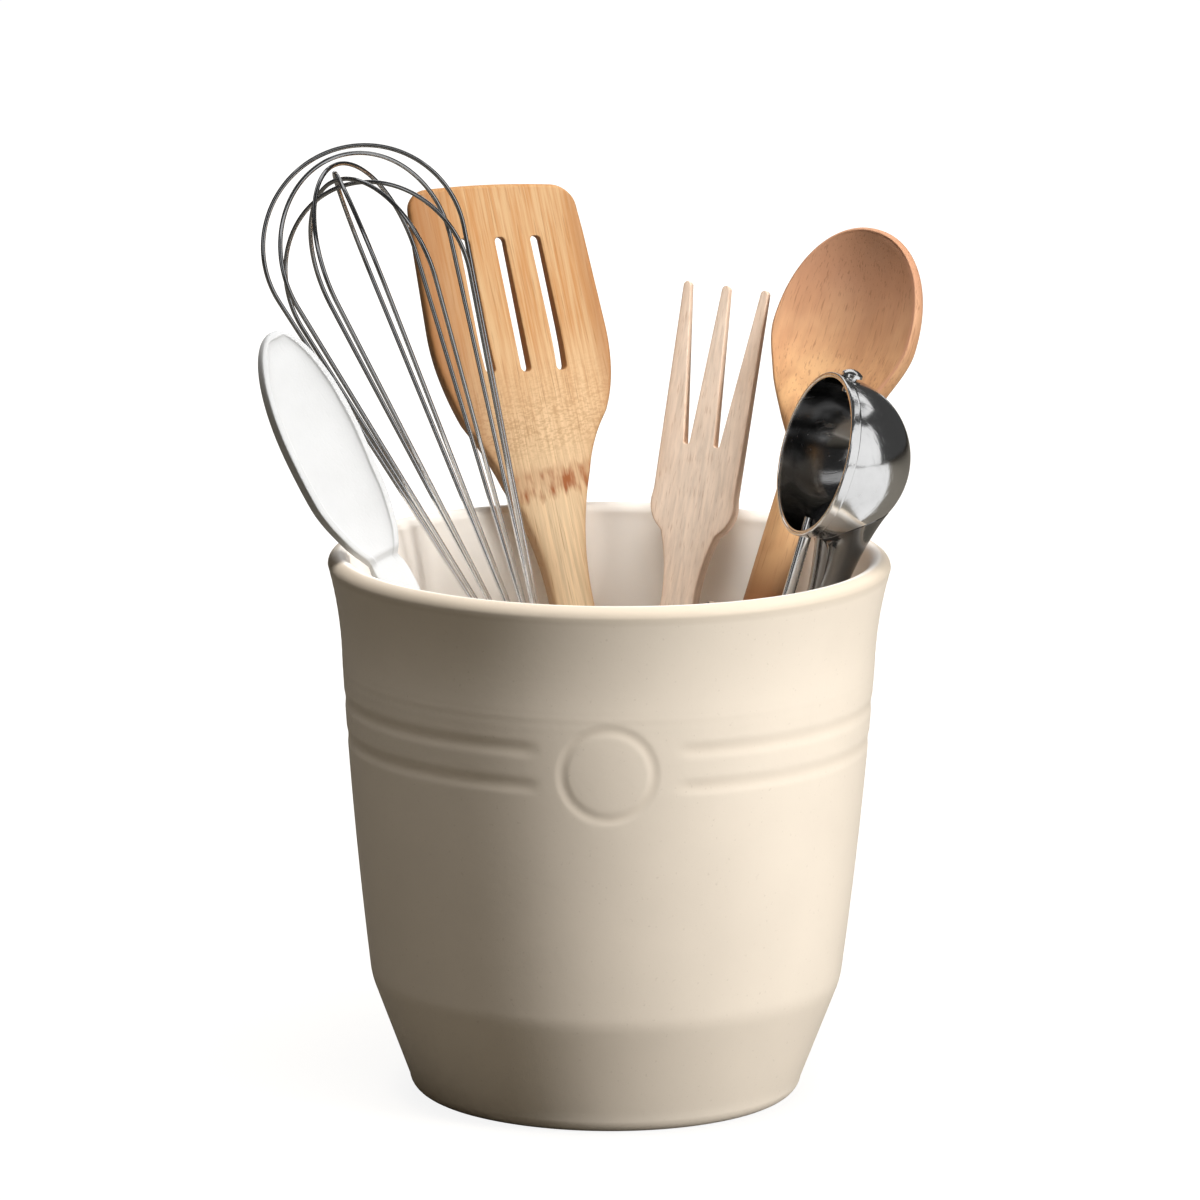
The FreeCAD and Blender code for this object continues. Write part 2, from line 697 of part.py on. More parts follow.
def wire_path(body, name, balloon_height):
    """Whisk loop: two legs that bend outward and run straight into a round top."""
    sketch = new_sketch(body, name, "XZ_Plane")
    low = "whisk_handle_top - whisk_wire_seat"
    high = "whisk_handle_top + whisk_leg_length"
    circle, bend, balloon = size("whisk_wire_circle"), size("whisk_wire_bend"), size("whisk_balloon_radius")
    rise = value(balloon_height) - value(high)
    lean = math.atan2(rise, circle + bend) - math.acos((balloon + bend) / math.hypot(rise, circle + bend))
    upright = Vector(0, 0, 1)
    ends = []
    for side in (1, -1):
        foot = Vector(side * circle, value(low), 0)
        knee = Vector(side * circle, value(high), 0)
        pivot = Vector(side * (circle + bend), value(high), 0)
        hip = pivot + Vector(-side * bend * math.cos(lean), bend * math.sin(lean), 0)
        crown = Vector(side * balloon * math.cos(lean), value(balloon_height) - balloon * math.sin(lean), 0)
        leg = sketch.addGeometry(Part.LineSegment(foot, knee))
        turns = (math.pi - lean, math.pi) if side == 1 else (0, lean)
        curve = sketch.addGeometry(Part.ArcOfCircle(Part.Circle(pivot, upright, bend), *turns))
        side_line = sketch.addGeometry(Part.LineSegment(hip, crown))
        near, far = (2, 1) if side == 1 else (1, 2)
        hold(sketch, "DistanceX", leg, 1, "whisk_wire_circle" if side == 1 else "-whisk_wire_circle")
        hold(sketch, "DistanceY", leg, 1, low)
        hold(sketch, "DistanceY", leg, 2, high)
        sketch.addConstraint(Sketcher.Constraint("Vertical", leg))
        sketch.addConstraint(Sketcher.Constraint("Tangent", leg, 2, curve, near))
        sketch.addConstraint(Sketcher.Constraint("Tangent", curve, far, side_line, 1))
        hold_radius(sketch, curve, "whisk_wire_bend")
        ends.append(side_line)
    centre = Vector(0, value(balloon_height), 0)
    top = sketch.addGeometry(Part.ArcOfCircle(Part.Circle(centre, upright, balloon), -lean, math.pi + lean))
    hold(sketch, "DistanceX", top, 3, "0")
    hold(sketch, "DistanceY", top, 3, balloon_height)
    hold_radius(sketch, top, "whisk_balloon_radius")
    sketch.addConstraint(Sketcher.Constraint("Tangent", ends[0], 2, top, 1))
    sketch.addConstraint(Sketcher.Constraint("Tangent", ends[1], 2, top, 2))
    return sketch


def sweep(body, profile, path):
    """Round wire along a path sketch."""
    doc.recompute()
    feature = body.newObject("PartDesign::AdditivePipe", path.Name + "_wire")
    feature.Profile = profile
    feature.Spine = (path, [f"Edge{number}" for number in range(1, len(path.Shape.Edges) + 1)])
    return feature


def build_whisk():
    """Balloon whisk: tube handle, wire plug, wire loops, end cap and hanging loop."""
    place = stand("whisk", size("whisk_hanger_half_width") / 2, "whisk_turn_angle")
    fitted = "(whisk_bore_radius - whisk_fit_clearance)"
    cap_top = "whisk_hanger_reach + whisk_cap_dome"

    handle = new_body("whisk_handle")
    tube(handle, "whisk_tube", "whisk_bore_radius", "whisk_handle_radius", cap_top, "whisk_handle_top",
         "whisk_grip_round")
    keep(handle, "whisk_handle", place)

    plug = new_body("whisk_plug")
    disc = circles(plug, "plug_disc", "XY_Plane", [("0", "0", fitted)],
                   "whisk_handle_top - whisk_plug_length")
    pad(plug, disc, "whisk_plug_length")
    hole = circles(plug, "plug_hole", "XY_Plane",
                   [("whisk_wire_circle", "0", "whisk_wire_radius + whisk_fit_clearance")],
                   "whisk_handle_top")
    bore = pocket(plug, hole, "whisk_plug_length")
    doc.recompute()
    ring = plug.newObject("PartDesign::PolarPattern", "plug_holes")
    ring.Originals = [bore]
    ring.Axis = (hole, ["N_Axis"])
    ring.Angle = 360
    ring.setExpression("Occurrences", bound("2 * whisk_loop_count"))
    plug.Tip = ring
    keep(plug, "whisk_plug", place)

    loops = int(size("whisk_loop_count"))
    for number in range(loops):
        wire = new_body(f"whisk_wire_{number + 1}")
        path = wire_path(wire, f"loop_{number + 1}", f"(whisk_balloon_height - {number} * whisk_apex_step)")
        dot = circles(wire, f"loop_section_{number + 1}", "XY_Plane",
                      [("whisk_wire_circle", "0", "whisk_wire_radius")],
                      "whisk_handle_top - whisk_wire_seat")
        sweep(wire, dot, path)
        spin = Placement(Vector(), Rotation(Vector(0, 0, 1), 180 * number / loops))
        keep(wire, f"whisk_wire_{number + 1}", place.multiply(spin))

    cap = new_body("whisk_end_cap")
    domed_cap(cap, "whisk_cap_profile", "whisk_hanger_reach", "whisk_cap_dome", "whisk_handle_radius",
              fitted, "whisk_cap_plug_length")
    seat_radius = "whisk_hanger_wire_radius + whisk_fit_clearance"
    seats = circles(cap, "hanger_seats", "XY_Plane",
                    [(side + "whisk_hanger_half_width", "0", seat_radius) for side in ("", "-")],
                    "whisk_hanger_reach")
    pocket(cap, seats, "whisk_hanger_seat + whisk_fit_clearance", backwards=True)
    keep(cap, "whisk_end_cap", place)

    hanger = new_body("whisk_hanging_loop")
    bottom = "(whisk_hanger_half_width + whisk_hanger_wire_radius)"
    top = "(whisk_hanger_reach + whisk_hanger_seat)"
    path = new_sketch(hanger, "hanger_path", "XZ_Plane")
    reach = size("whisk_hanger_half_width")
    legs = []
    for side, words in ((1, "whisk_hanger_half_width"), (-1, "-whisk_hanger_half_width")):
        leg = path.addGeometry(Part.LineSegment(Vector(side * reach, value(top), 0),
                                                Vector(side * reach, value(bottom), 0)))
        hold(path, "DistanceX", leg, 1, words)
        hold(path, "DistanceY", leg, 1, top)
        hold(path, "DistanceY", leg, 2, bottom)
        path.addConstraint(Sketcher.Constraint("Vertical", leg))
        legs.append(leg)
    eye = Part.Circle(Vector(0, value(bottom), 0), Vector(0, 0, 1), reach)
    bend = path.addGeometry(Part.ArcOfCircle(eye, math.pi, 2 * math.pi))
    path.addConstraint(Sketcher.Constraint("Coincident", legs[1], 2, bend, 1))
    path.addConstraint(Sketcher.Constraint("Tangent", legs[0], 2, bend, 2))
    dot = circles(hanger, "hanger_section", "XY_Plane",
                  [("whisk_hanger_half_width", "0", "whisk_hanger_wire_radius")], top)
    sweep(hanger, dot, path)
    keep(hanger, "whisk_hanging_loop", place)


def fastened(body, tool, label, place):
    """A body less a tool solid, kept as one sub-part."""
    cut = doc.addObject("Part::Cut", label)
    cut.Base, cut.Tool = body, tool
    return keep(cut, label, place)


BOWL_HEIGHT = "(crock_height - crock_floor + scoop_bowl_radius + scoop_rim_clearance)"
GEAR_HEIGHT = "(pinion_width + 2 * gear_end_clearance)"
FRAME_TOP = f"({BOWL_HEIGHT} - scoop_stem_length)"
COVER_BOTTOM = f"({FRAME_TOP} - scoop_cover_thickness)"
GEAR_BOTTOM = f"({COVER_BOTTOM} - {GEAR_HEIGHT})"
FRAME_BOTTOM = f"({GEAR_BOTTOM} - gear_floor)"
PINION_BOTTOM = f"({GEAR_BOTTOM} + gear_end_clearance)"
PINION_TIP = "(gear_pitch_radius + tooth_addendum)"
RACK_ROOT = "(gear_pitch_radius + tooth_dedendum)"
RACK_TIP = "(gear_pitch_radius - tooth_addendum)"
RACK_BACK = f"({RACK_ROOT} + rack_depth)"
TOOTH_PITCH = "(2 * pi * gear_pitch_radius / pinion_teeth_count)"
PAD_FACE = "(scoop_frame_half_width + spring_gap)"
BOWL_INSIDE = "(scoop_bowl_radius - scoop_bowl_wall)"
STEM_TOP = f"({BOWL_HEIGHT} - scoop_stem_reach)"
BOSS_FACE = f"(sqrt({BOWL_INSIDE}^2 - sweeper_boss_radius^2) - sweeper_clearance)"


def screw_spots():
    return [("screw_side", "-screw_back"), ("-screw_side", "-screw_back")]


def build_scoop_shell(place):
    """Bowl, cast frame with stem, handle, end cap, gear cover and its screws."""
    bowl = new_body("scoop_bowl")
    profile = outline(bowl, "bowl_profile", "YZ_Plane", [
        ("scoop_bowl_radius", "0", "right", "scoop_bowl_radius"),
        ("0", "scoop_bowl_radius"),
        ("scoop_collar_band - scoop_collar_length", "scoop_bowl_radius"),
        ("scoop_collar_band - scoop_collar_length", "scoop_bowl_radius + scoop_collar_step"),
        ("-scoop_collar_length", "scoop_bowl_radius + scoop_collar_step"),
        ("-scoop_collar_length", BOWL_INSIDE),
        ("0", BOWL_INSIDE, "left", BOWL_INSIDE),
        (BOWL_INSIDE, "0"),
    ], shift=("-scoop_pivot_offset", BOWL_HEIGHT))
    revolve(bowl, profile, "H_Axis")
    pivots = circles(bowl, "bowl_pivots", "XY_Plane",
                     [("0", "-scoop_pivot_offset", "spindle_radius + spindle_clearance")])
    pocket(bowl, pivots, f"2 * ({BOWL_HEIGHT} + scoop_bowl_radius + overrun)", both_ways=True)
    keep(bowl, "scoop_bowl", place)

    frame = new_body("scoop_frame_cast")
    low = outline(frame, "frame_low", "XY_Plane", rectangle(
        "-scoop_frame_half_width", "-scoop_frame_front", "scoop_frame_half_width", "scoop_frame_back"),
        FRAME_BOTTOM)
    pad(frame, low, f"{COVER_BOTTOM} - {FRAME_BOTTOM}")
    high = outline(frame, "frame_high", "XY_Plane", rectangle(
        "-scoop_frame_half_width", "-scoop_cover_back", "scoop_frame_half_width", "scoop_frame_back"),
        FRAME_BOTTOM)
    pad(frame, high, f"{FRAME_TOP} - {FRAME_BOTTOM}")
    stem = outline(frame, "frame_stem", "XZ_Plane", [
        ("0", FRAME_BOTTOM),
        ("scoop_stem_radius", FRAME_BOTTOM),
        ("scoop_stem_radius", f"{STEM_TOP} - scoop_stem_flare_length", "left", "scoop_stem_flare_round"),
        ("scoop_stem_flare_radius", STEM_TOP),
        ("0", STEM_TOP),
    ])
    revolve(frame, stem)
    tang = circles(frame, "frame_tang", "XY_Plane",
                   [("0", "0", "scoop_handle_radius - scoop_handle_wall - scoop_fit_clearance")],
                   FRAME_BOTTOM)
    pad(frame, tang, "scoop_tang_length", backwards=True)
    well = circles(frame, "pinion_well", "XY_Plane",
                   [("0", "-scoop_pivot_offset", f"{PINION_TIP} + pinion_clearance")], GEAR_BOTTOM)
    pocket(frame, well, GEAR_HEIGHT, backwards=True)
    channel_front = f"-scoop_pivot_offset - {RACK_BACK} - rack_clearance"
    channel_back = f"-scoop_pivot_offset - {RACK_TIP} + rack_clearance"
    channel = outline(frame, "rack_channel", "XY_Plane", rectangle(
        "-scoop_frame_half_width - overrun", channel_front,
        "scoop_frame_half_width + overrun", channel_back), GEAR_BOTTOM)
    pocket(frame, channel, GEAR_HEIGHT, backwards=True)
    seat = circles(frame, "spindle_seat", "XY_Plane",
                   [("0", "-scoop_pivot_offset", "spindle_radius + spindle_clearance")], GEAR_BOTTOM)
    pocket(frame, seat, "spindle_seat_depth + gear_end_clearance")
    taps = circles(frame, "frame_taps", "XY_Plane",
                   [spot + ("screw_radius + screw_clearance",) for spot in screw_spots()], COVER_BOTTOM)
    pocket(frame, taps, "screw_length - scoop_cover_thickness + screw_clearance")
    ball = doc.addObject("Part::Sphere", "bowl_seat")
    ball.setExpression("Radius", bound("scoop_bowl_radius + scoop_braze_gap"))
    ball.setExpression("Placement.Base.y", bound("-scoop_pivot_offset"))
    ball.setExpression("Placement.Base.z", bound(BOWL_HEIGHT))
    fastened(frame, ball, "scoop_frame", place)

    handle = new_body("scoop_handle")
    tube(handle, "scoop_tube", "scoop_handle_radius - scoop_handle_wall", "scoop_handle_radius",
         "scoop_cap_dome", FRAME_BOTTOM)
    keep(handle, "scoop_handle", place)

    cap = new_body("scoop_end_cap")
    domed_cap(cap, "scoop_cap_profile", "0", "scoop_cap_dome", "scoop_handle_radius",
              "scoop_handle_radius - scoop_handle_wall - scoop_fit_clearance", "scoop_cap_plug_length")
    keep(cap, "scoop_end_cap", place)

    cover = new_body("scoop_gear_cover")
    plate = outline(cover, "cover_plate", "XY_Plane", rectangle(
        "-scoop_frame_half_width", "-scoop_frame_front", "scoop_frame_half_width",
        "-scoop_cover_back - scoop_fit_clearance"), COVER_BOTTOM)
    pad(cover, plate, "scoop_cover_thickness")
    holes = circles(cover, "cover_holes", "XY_Plane",
                    [spot + ("screw_radius + screw_clearance",) for spot in screw_spots()]
                    + [("0", "-scoop_pivot_offset", "spindle_radius + spindle_clearance")], FRAME_TOP)
    pocket(cover, holes, "scoop_cover_thickness")
    keep(cover, "scoop_gear_cover", place)

    for number, (across, along) in enumerate(screw_spots(), start=1):
        screw = new_body(f"scoop_cover_screw_{number}")
        profile = outline(screw, f"screw_profile_{number}", "XZ_Plane", [
            ("0", "-screw_length"),
            ("screw_radius", "-screw_length"),
            ("screw_radius", "0"),
            ("screw_head_radius", "0"),
            ("screw_head_radius", "screw_head_height"),
            ("0", "screw_head_height"),
        ])
        revolve(screw, profile)
        spot = Placement(Vector(value(across), value(along), value(FRAME_TOP)), Rotation())
        keep(screw, f"scoop_cover_screw_{number}", place.multiply(spot))


def build_sweeper(place):
    """Sweeper blade with its pinion, spindle and top pivot, all turning together."""
    centre = Placement(Vector(0, -size("scoop_pivot_offset"), value(BOWL_HEIGHT)), Rotation())
    outer = f"({BOWL_INSIDE} - sweeper_clearance)"
    inner = f"({outer} - sweeper_thickness)"
    outer_pole = f"sqrt({outer}^2 - sweeper_pole_radius^2)"
    inner_pole = f"sqrt({inner}^2 - sweeper_pole_radius^2)"
    blade = new_body("scoop_sweeper")
    strip = outline(blade, "blade_strip", "XZ_Plane", [
        ("sweeper_pole_radius", f"-{outer_pole}", "right", outer),
        (outer, "0", "right", outer),
        ("sweeper_pole_radius", outer_pole),
        ("sweeper_pole_radius", inner_pole, "left", inner),
        (inner, "0", "left", inner),
        ("sweeper_pole_radius", f"-{inner_pole}"),
    ])
    revolve(blade, strip, "V_Axis", "sweeper_angle")
    bore = "spindle_radius + spindle_fit_clearance"
    for name, side, backwards in (("low", "-", False), ("high", "", True)):
        disc = circles(blade, f"boss_{name}", "XY_Plane",
                       [("0", "0", "sweeper_boss_radius"), ("0", "0", bore)], f"{side}{BOSS_FACE}")
        pad(blade, disc, "sweeper_boss_length", backwards=backwards)
    keep(blade, "scoop_sweeper", place.multiply(centre))

    spindle = new_body("scoop_spindle")
    rod = circles(spindle, "spindle_section", "XY_Plane", [("0", "-scoop_pivot_offset", "spindle_radius")],
                  f"{GEAR_BOTTOM} - spindle_seat_depth")
    spindle_top = f"({BOWL_HEIGHT} - {BOSS_FACE} + sweeper_boss_length)"
    pad(spindle, rod, f"{spindle_top} - {GEAR_BOTTOM} + spindle_seat_depth")
    keep(spindle, "scoop_spindle", place)

    pin = new_body("scoop_top_pivot")
    head_low = "(scoop_bowl_radius + scoop_collar_step + sweeper_clearance)"
    profile = outline(pin, "pivot_profile", "XZ_Plane", [
        ("0", f"{BOSS_FACE} - sweeper_boss_length"),
        ("spindle_radius", f"{BOSS_FACE} - sweeper_boss_length"),
        ("spindle_radius", head_low),
        ("pivot_head_radius", head_low, "right", ball_radius("pivot_head_radius", "pivot_head_length")),
        ("0", f"{head_low} + pivot_head_length"),
    ])
    revolve(pin, profile)
    keep(pin, "scoop_top_pivot", place.multiply(centre))

    pinion = new_body("scoop_pinion")
    root = "(gear_pitch_radius - tooth_dedendum)"
    blank = circles(pinion, "pinion_blank", "XY_Plane", [("0", "0", root), ("0", "0", bore)])
    pad(pinion, blank, "pinion_width")
    buried = f"{root} - tooth_addendum / 2"
    tooth = outline(pinion, "pinion_tooth", "XY_Plane", [
        ("-tooth_root_width / 2", f"-({buried})"),
        ("tooth_root_width / 2", f"-({buried})"),
        ("tooth_tip_width / 2", f"-{PINION_TIP}"),
        ("-tooth_tip_width / 2", f"-{PINION_TIP}"),
    ])
    first = pad(pinion, tooth, "pinion_width")
    doc.recompute()
    ring = pinion.newObject("PartDesign::PolarPattern", "pinion_teeth")
    ring.Originals = [first]
    ring.Axis = (tooth, ["N_Axis"])
    ring.Angle = 360
    ring.setExpression("Occurrences", bound("pinion_teeth_count"))
    pinion.Tip = ring
    spot = Placement(Vector(0, -size("scoop_pivot_offset"), value(PINION_BOTTOM)), Rotation())
    keep(pinion, "scoop_pinion", place.multiply(spot))


def build_thumb_push(place):
    """Toothed rack, thumb pad and return spring, laid out from the pinion's centre."""
    spot = Placement(Vector(0, -size("scoop_pivot_offset"), value(PINION_BOTTOM)), Rotation())
    seat = place.multiply(spot)
    rack = new_body("scoop_rack")
    front = f"(1.5 * {TOOTH_PITCH} + tooth_root_width / 2 + rack_end_margin)"
    bar = outline(rack, "rack_bar", "XY_Plane", rectangle(
        f"-{PAD_FACE}", f"-{RACK_BACK}", front, f"-{RACK_ROOT}"))
    pad(rack, bar, "pinion_width")
    tooth = outline(rack, "rack_tooth", "XY_Plane", [
        (f"1.5 * {TOOTH_PITCH} - tooth_root_width / 2", f"-{RACK_ROOT}"),
        (f"1.5 * {TOOTH_PITCH} + tooth_root_width / 2", f"-{RACK_ROOT}"),
        (f"1.5 * {TOOTH_PITCH} + tooth_tip_width / 2", f"-{RACK_TIP}"),
        (f"1.5 * {TOOTH_PITCH} - tooth_tip_width / 2", f"-{RACK_TIP}"),
    ])
    first = pad(rack, tooth, "pinion_width")
    doc.recompute()
    row = rack.newObject("PartDesign::LinearPattern", "rack_teeth")
    row.Originals = [first]
    row.Direction = (tooth, ["H_Axis"])
    row.Reversed = True
    row.setExpression("Length", bound(f"{TOOTH_PITCH} * (rack_teeth_count - 1)"))
    row.setExpression("Occurrences", bound("rack_teeth_count"))
    rack.Tip = row
    keep(rack, "scoop_rack", seat)

    middle_y = f"(-({RACK_BACK} + {RACK_TIP}) / 2)"
    middle_z = "(pinion_width / 2)"
    thumb = new_body("scoop_thumb_pad")
    left, right = f"({middle_y} - thumb_pad_width / 2)", f"({middle_y} + thumb_pad_width / 2)"
    low, high = f"({middle_z} - thumb_pad_height / 2)", f"({middle_z} + thumb_pad_height / 2)"
    turn = ("right", "thumb_pad_round")
    plate = outline(thumb, "thumb_plate", "YZ_Plane", [
        (f"{left} + thumb_pad_round", low),
        (f"{right} - thumb_pad_round", low) + turn,
        (right, f"{low} + thumb_pad_round"),
        (right, f"{high} - thumb_pad_round") + turn,
        (f"{right} - thumb_pad_round", high),
        (f"{left} + thumb_pad_round", high) + turn,
        (left, f"{high} - thumb_pad_round"),
        (left, f"{low} + thumb_pad_round") + turn,
    ], f"-{PAD_FACE}")
    pad(thumb, plate, "thumb_pad_thickness", backwards=True)
    keep(thumb, "scoop_thumb_pad", seat)

    spring = doc.addObject("Part::Feature", "scoop_return_spring")
    spring.Shape = coil(Vector(-size("scoop_frame_half_width"), value(middle_y), value(middle_z)))
    keep(spring, "scoop_return_spring", seat)


def biarc(start, start_way, end, end_way):
    """Two arcs that leave the start and reach the end along the given ways."""
    span = end - start
    both = span.dot(start_way + end_way)
    apart = 2 * (1 - start_way.dot(end_way))
    reach = (math.sqrt(both ** 2 + apart * span.dot(span)) - both) / apart
    middle = (start + end + (start_way - end_way) * reach) / 2
    arcs = []
    for tail, way, head in ((start, start_way, middle), (end, -end_way, middle)):
        chord = head - tail
        along = chord / chord.Length
        lean = math.acos(min(way.dot(along), 1))
        outward = (way - along * way.dot(along)).normalize()
        top = (tail + head) / 2 + outward * (chord.Length / 2 * math.tan(lean / 2))
        ends = (tail, top, head) if tail is start else (head, top, tail)
        arcs.append(Part.Arc(*ends).toShape())
    return arcs


def least_gap(spine, radius, wire):
    """Least clear gap between stretches of the wire that lie more than half a turn apart."""
    points = spine.discretize(Number=int(size("spring_point_count")))
    skip = math.ceil(math.pi * radius / (spine.Length / (len(points) - 1)))
    pairs = ((near, far) for at, near in enumerate(points) for far in points[at + skip:])
    return min(near.distanceToPoint(far) for near, far in pairs) - 2 * wire


def coil(root):
    """Spring wound along -X from the frame's face: one round wire with straight ends."""
    radius, wire = size("spring_coil_radius"), size("spring_wire_radius")
    turns = int(size("spring_turn_count"))
    edge = size("spring_end_margin") + wire
    length = size("spring_gap") - 2 * edge
    rate = length / (2 * math.pi * turns)

    def point(angle):
        return root + Vector(-edge - rate * angle, radius * math.cos(angle), radius * math.sin(angle))

    def way(angle):
        return Vector(-rate, -radius * math.sin(angle), radius * math.cos(angle)).normalize()

    last = 2 * math.pi * turns
    stub = size("spring_end_length")
    flat_start, flat_end = way(0), way(last)
    flat_start.x = flat_end.x = 0
    edges = [Part.LineSegment(point(0) - flat_start * stub, point(0)).toShape()]
    quarters = 4 * turns
    for number in range(quarters):
        begin, finish = number * math.pi / 2, (number + 1) * math.pi / 2
        edges += biarc(point(begin), way(begin), point(finish), way(finish))
    edges.append(Part.LineSegment(point(last), point(last) + flat_end * stub).toShape())
    spine = Part.Wire(edges)
    print("scoop_return_spring least gap to itself", round(least_gap(spine, radius, wire), 3), "mm")
    start = edges[0].Vertexes[0].Point
    section = Part.Wire(Part.Circle(start, flat_start, wire).toShape())
    return spine.makePipeShell([section], True, False)


def build_scoop():
    place = stand("scoop", size("scoop_handle_radius") / 2, "scoop_turn_angle")
    build_scoop_shell(place)
    build_sweeper(place)
    build_thumb_push(place)


build_crock()
build_spoon("white_spoon", WHITE_HEAD_SHARES)
build_spoon("wooden_spoon", WOODEN_HEAD_SHARES)
build_turner()
build_fork()
build_whisk()
build_scoop()
doc.recompute()

os.makedirs("parts", exist_ok=True)
for thing in doc.Objects:
    if "Invalid" in thing.State or "Error" in thing.State:
        raise RuntimeError(f"{thing.Label} did not build: {thing.State}")
    if thing.TypeId in ("PartDesign::Pocket", "PartDesign::Groove"):
        if thing.Shape.Volume >= thing.BaseFeature.Shape.Volume:
            raise RuntimeError(f"{thing.Label} takes nothing away")
for thing in made:
    if thing.Shape.isNull() or not thing.Shape.isValid() or len(thing.Shape.Solids) != 1:
        raise RuntimeError(f"{thing.Label} has no valid solid")
    thing.Shape.exportStep(f"parts/{thing.Label}.step")
    print(thing.Label, round(thing.Shape.Volume, 1), "cubic mm")
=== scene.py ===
import json
import math

import bmesh
import bpy
import numpy as np
from mathutils import Euler, Matrix, Vector


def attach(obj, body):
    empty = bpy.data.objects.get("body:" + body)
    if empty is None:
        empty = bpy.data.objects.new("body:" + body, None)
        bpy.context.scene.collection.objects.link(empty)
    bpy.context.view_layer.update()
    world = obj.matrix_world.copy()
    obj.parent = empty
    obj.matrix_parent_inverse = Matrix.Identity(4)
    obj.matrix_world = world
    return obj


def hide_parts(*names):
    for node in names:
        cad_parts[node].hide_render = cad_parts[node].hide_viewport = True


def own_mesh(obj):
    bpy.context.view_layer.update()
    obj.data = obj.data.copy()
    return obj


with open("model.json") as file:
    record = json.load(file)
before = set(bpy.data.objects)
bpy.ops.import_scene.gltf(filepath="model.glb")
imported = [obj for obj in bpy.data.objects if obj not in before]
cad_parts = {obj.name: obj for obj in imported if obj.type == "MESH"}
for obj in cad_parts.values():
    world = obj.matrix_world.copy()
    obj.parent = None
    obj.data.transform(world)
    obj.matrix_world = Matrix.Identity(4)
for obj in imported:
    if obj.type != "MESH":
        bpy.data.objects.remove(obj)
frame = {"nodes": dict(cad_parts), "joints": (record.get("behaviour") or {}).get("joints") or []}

bl_info = {
    "name": "Utensil crock",
    "version": (1, 0, 0),
    "blender": (4, 5, 0),
    "location": "View3D > Sidebar > Crock",
    "description": "Glazed crock with the six utensils that stand in it",
    "category": "Object",
}

MM = 0.001

# Each utensil's front in degrees from -Y towards +X, its node that is even about the handle's axis,
# and its node that stands on the crock's floor.
STANDS = {
    "white_spoon": (38.0, "white_spoon", "white_spoon"),
    "wooden_spoon": (-27.0, "wooden_spoon", "wooden_spoon"),
    "turner": (20.0, "turner", "turner"),
    "fork": (-20.0, "fork", "fork"),
    "whisk": (8.0, "whisk_handle", "whisk_hanging_loop"),
    "scoop": (-70.0, "scoop_handle", "scoop_end_cap"),
}
EVEN_REACH = 100 * MM

# Spoon sections: share of the length, then of the width and of the depth there.
HANDLE_SHARES = np.array([
    (0, 0.45, 0.45), (0.03, 0.88, 0.88), (0.12, 0.95, 0.95), (0.6, 0.96, 0.97), (1, 1, 1)])
WHITE_HEAD_SHARES = np.array([
    (0, 0.38, 0.66), (0.12, 0.72, 0.80), (0.30, 0.95, 0.96), (0.52, 1, 1),
    (0.78, 0.90, 0.88), (0.92, 0.64, 0.60), (1, 0.20, 0.22)])
WOODEN_HEAD_SHARES = np.array([
    (0, 0.26, 0.48), (0.14, 0.54, 0.66), (0.30, 0.80, 0.86), (0.52, 1, 1),
    (0.74, 0.91, 0.90), (0.90, 0.63, 0.62), (1, 0.18, 0.20)])

# Middle of the scoop's bowl, and of the face that its spring pushes on, in millimetres from its foot.
BOWL_MIDDLE = np.array([0.0, -10.5, 179.0])
SPRING_FACE = np.array([-8.5, -16.475, 119.3])

# Studio cards: place and size in metres. The dark ones give polished metal its edges.
DARK_CARDS = {
    "card_right": ((3.0, -0.6, 1.0), (4.0, 4.0)),
    "card_left": ((-3.0, -0.6, 1.0), (4.0, 4.0)),
    "card_high": ((0.0, -0.4, 3.2), (5.0, 4.0)),
    "card_front": ((0.0, -4.6, 1.0), (5.0, 4.0)),
    "card_back_right": ((2.4, 2.6, 1.0), (4.0, 4.0)),
    "card_back_left": ((-2.4, 2.6, 1.0), (4.0, 4.0)),
}
BRIGHT_CARD = ((1.66, -1.12, 0.75), (1.7, 1.9))
FLOOR_CARD = ((0.95, -0.55, 0.002), (1.6, 1.2))
WHITE = (1.0, 1.0, 1.0)


def metres(name, text, default):
    """Length that a user can set."""
    return bpy.props.FloatProperty(name=name, description=text, default=default, unit="LENGTH", precision=5)


def colour(name, text, default):
    """Colour that a user can set."""
    return bpy.props.FloatVectorProperty(
        name=name, description=text, default=default, subtype="COLOR", size=3, min=0.0, max=1.0)


def amount(name, text, default):
    """Plain number that a user can set."""
    return bpy.props.FloatProperty(name=name, description=text, default=default)


SPOON_SIZES = {
    "length": "Whole length",
    "head_length": "Length of the head",
    "head_width": "Width of the head",
    "head_depth": "Depth of the uncut head",
    "shift": "Distance of the head's middle to its right",
    "handle_width": "Width of the handle",
    "handle_depth": "Depth of the handle",
    "rim": "Face in front of the middle plane",
    "ramp": "Half length of the ramp to the handle",
    "set_back": "Distance of the ramp's middle below the head",
    "dip": "Depth of the step below the head",
    "border": "Flat border round the hollow",
    "hollow": "Depth of the hollow",
}


def spoon_properties(square, soft, **sizes):
    """Properties that every spoon has, from their defaults."""
    properties = {key: metres(key.replace("_", " ").capitalize(), SPOON_SIZES[key], size)
                  for key, size in sizes.items()}
    properties["square"] = amount("Square", "Power of the section's outline, 2 for an ellipse", square)
    properties["soft"] = amount("Soft", "Power that rounds the hollow, small for a flat bottom", soft)
    return properties


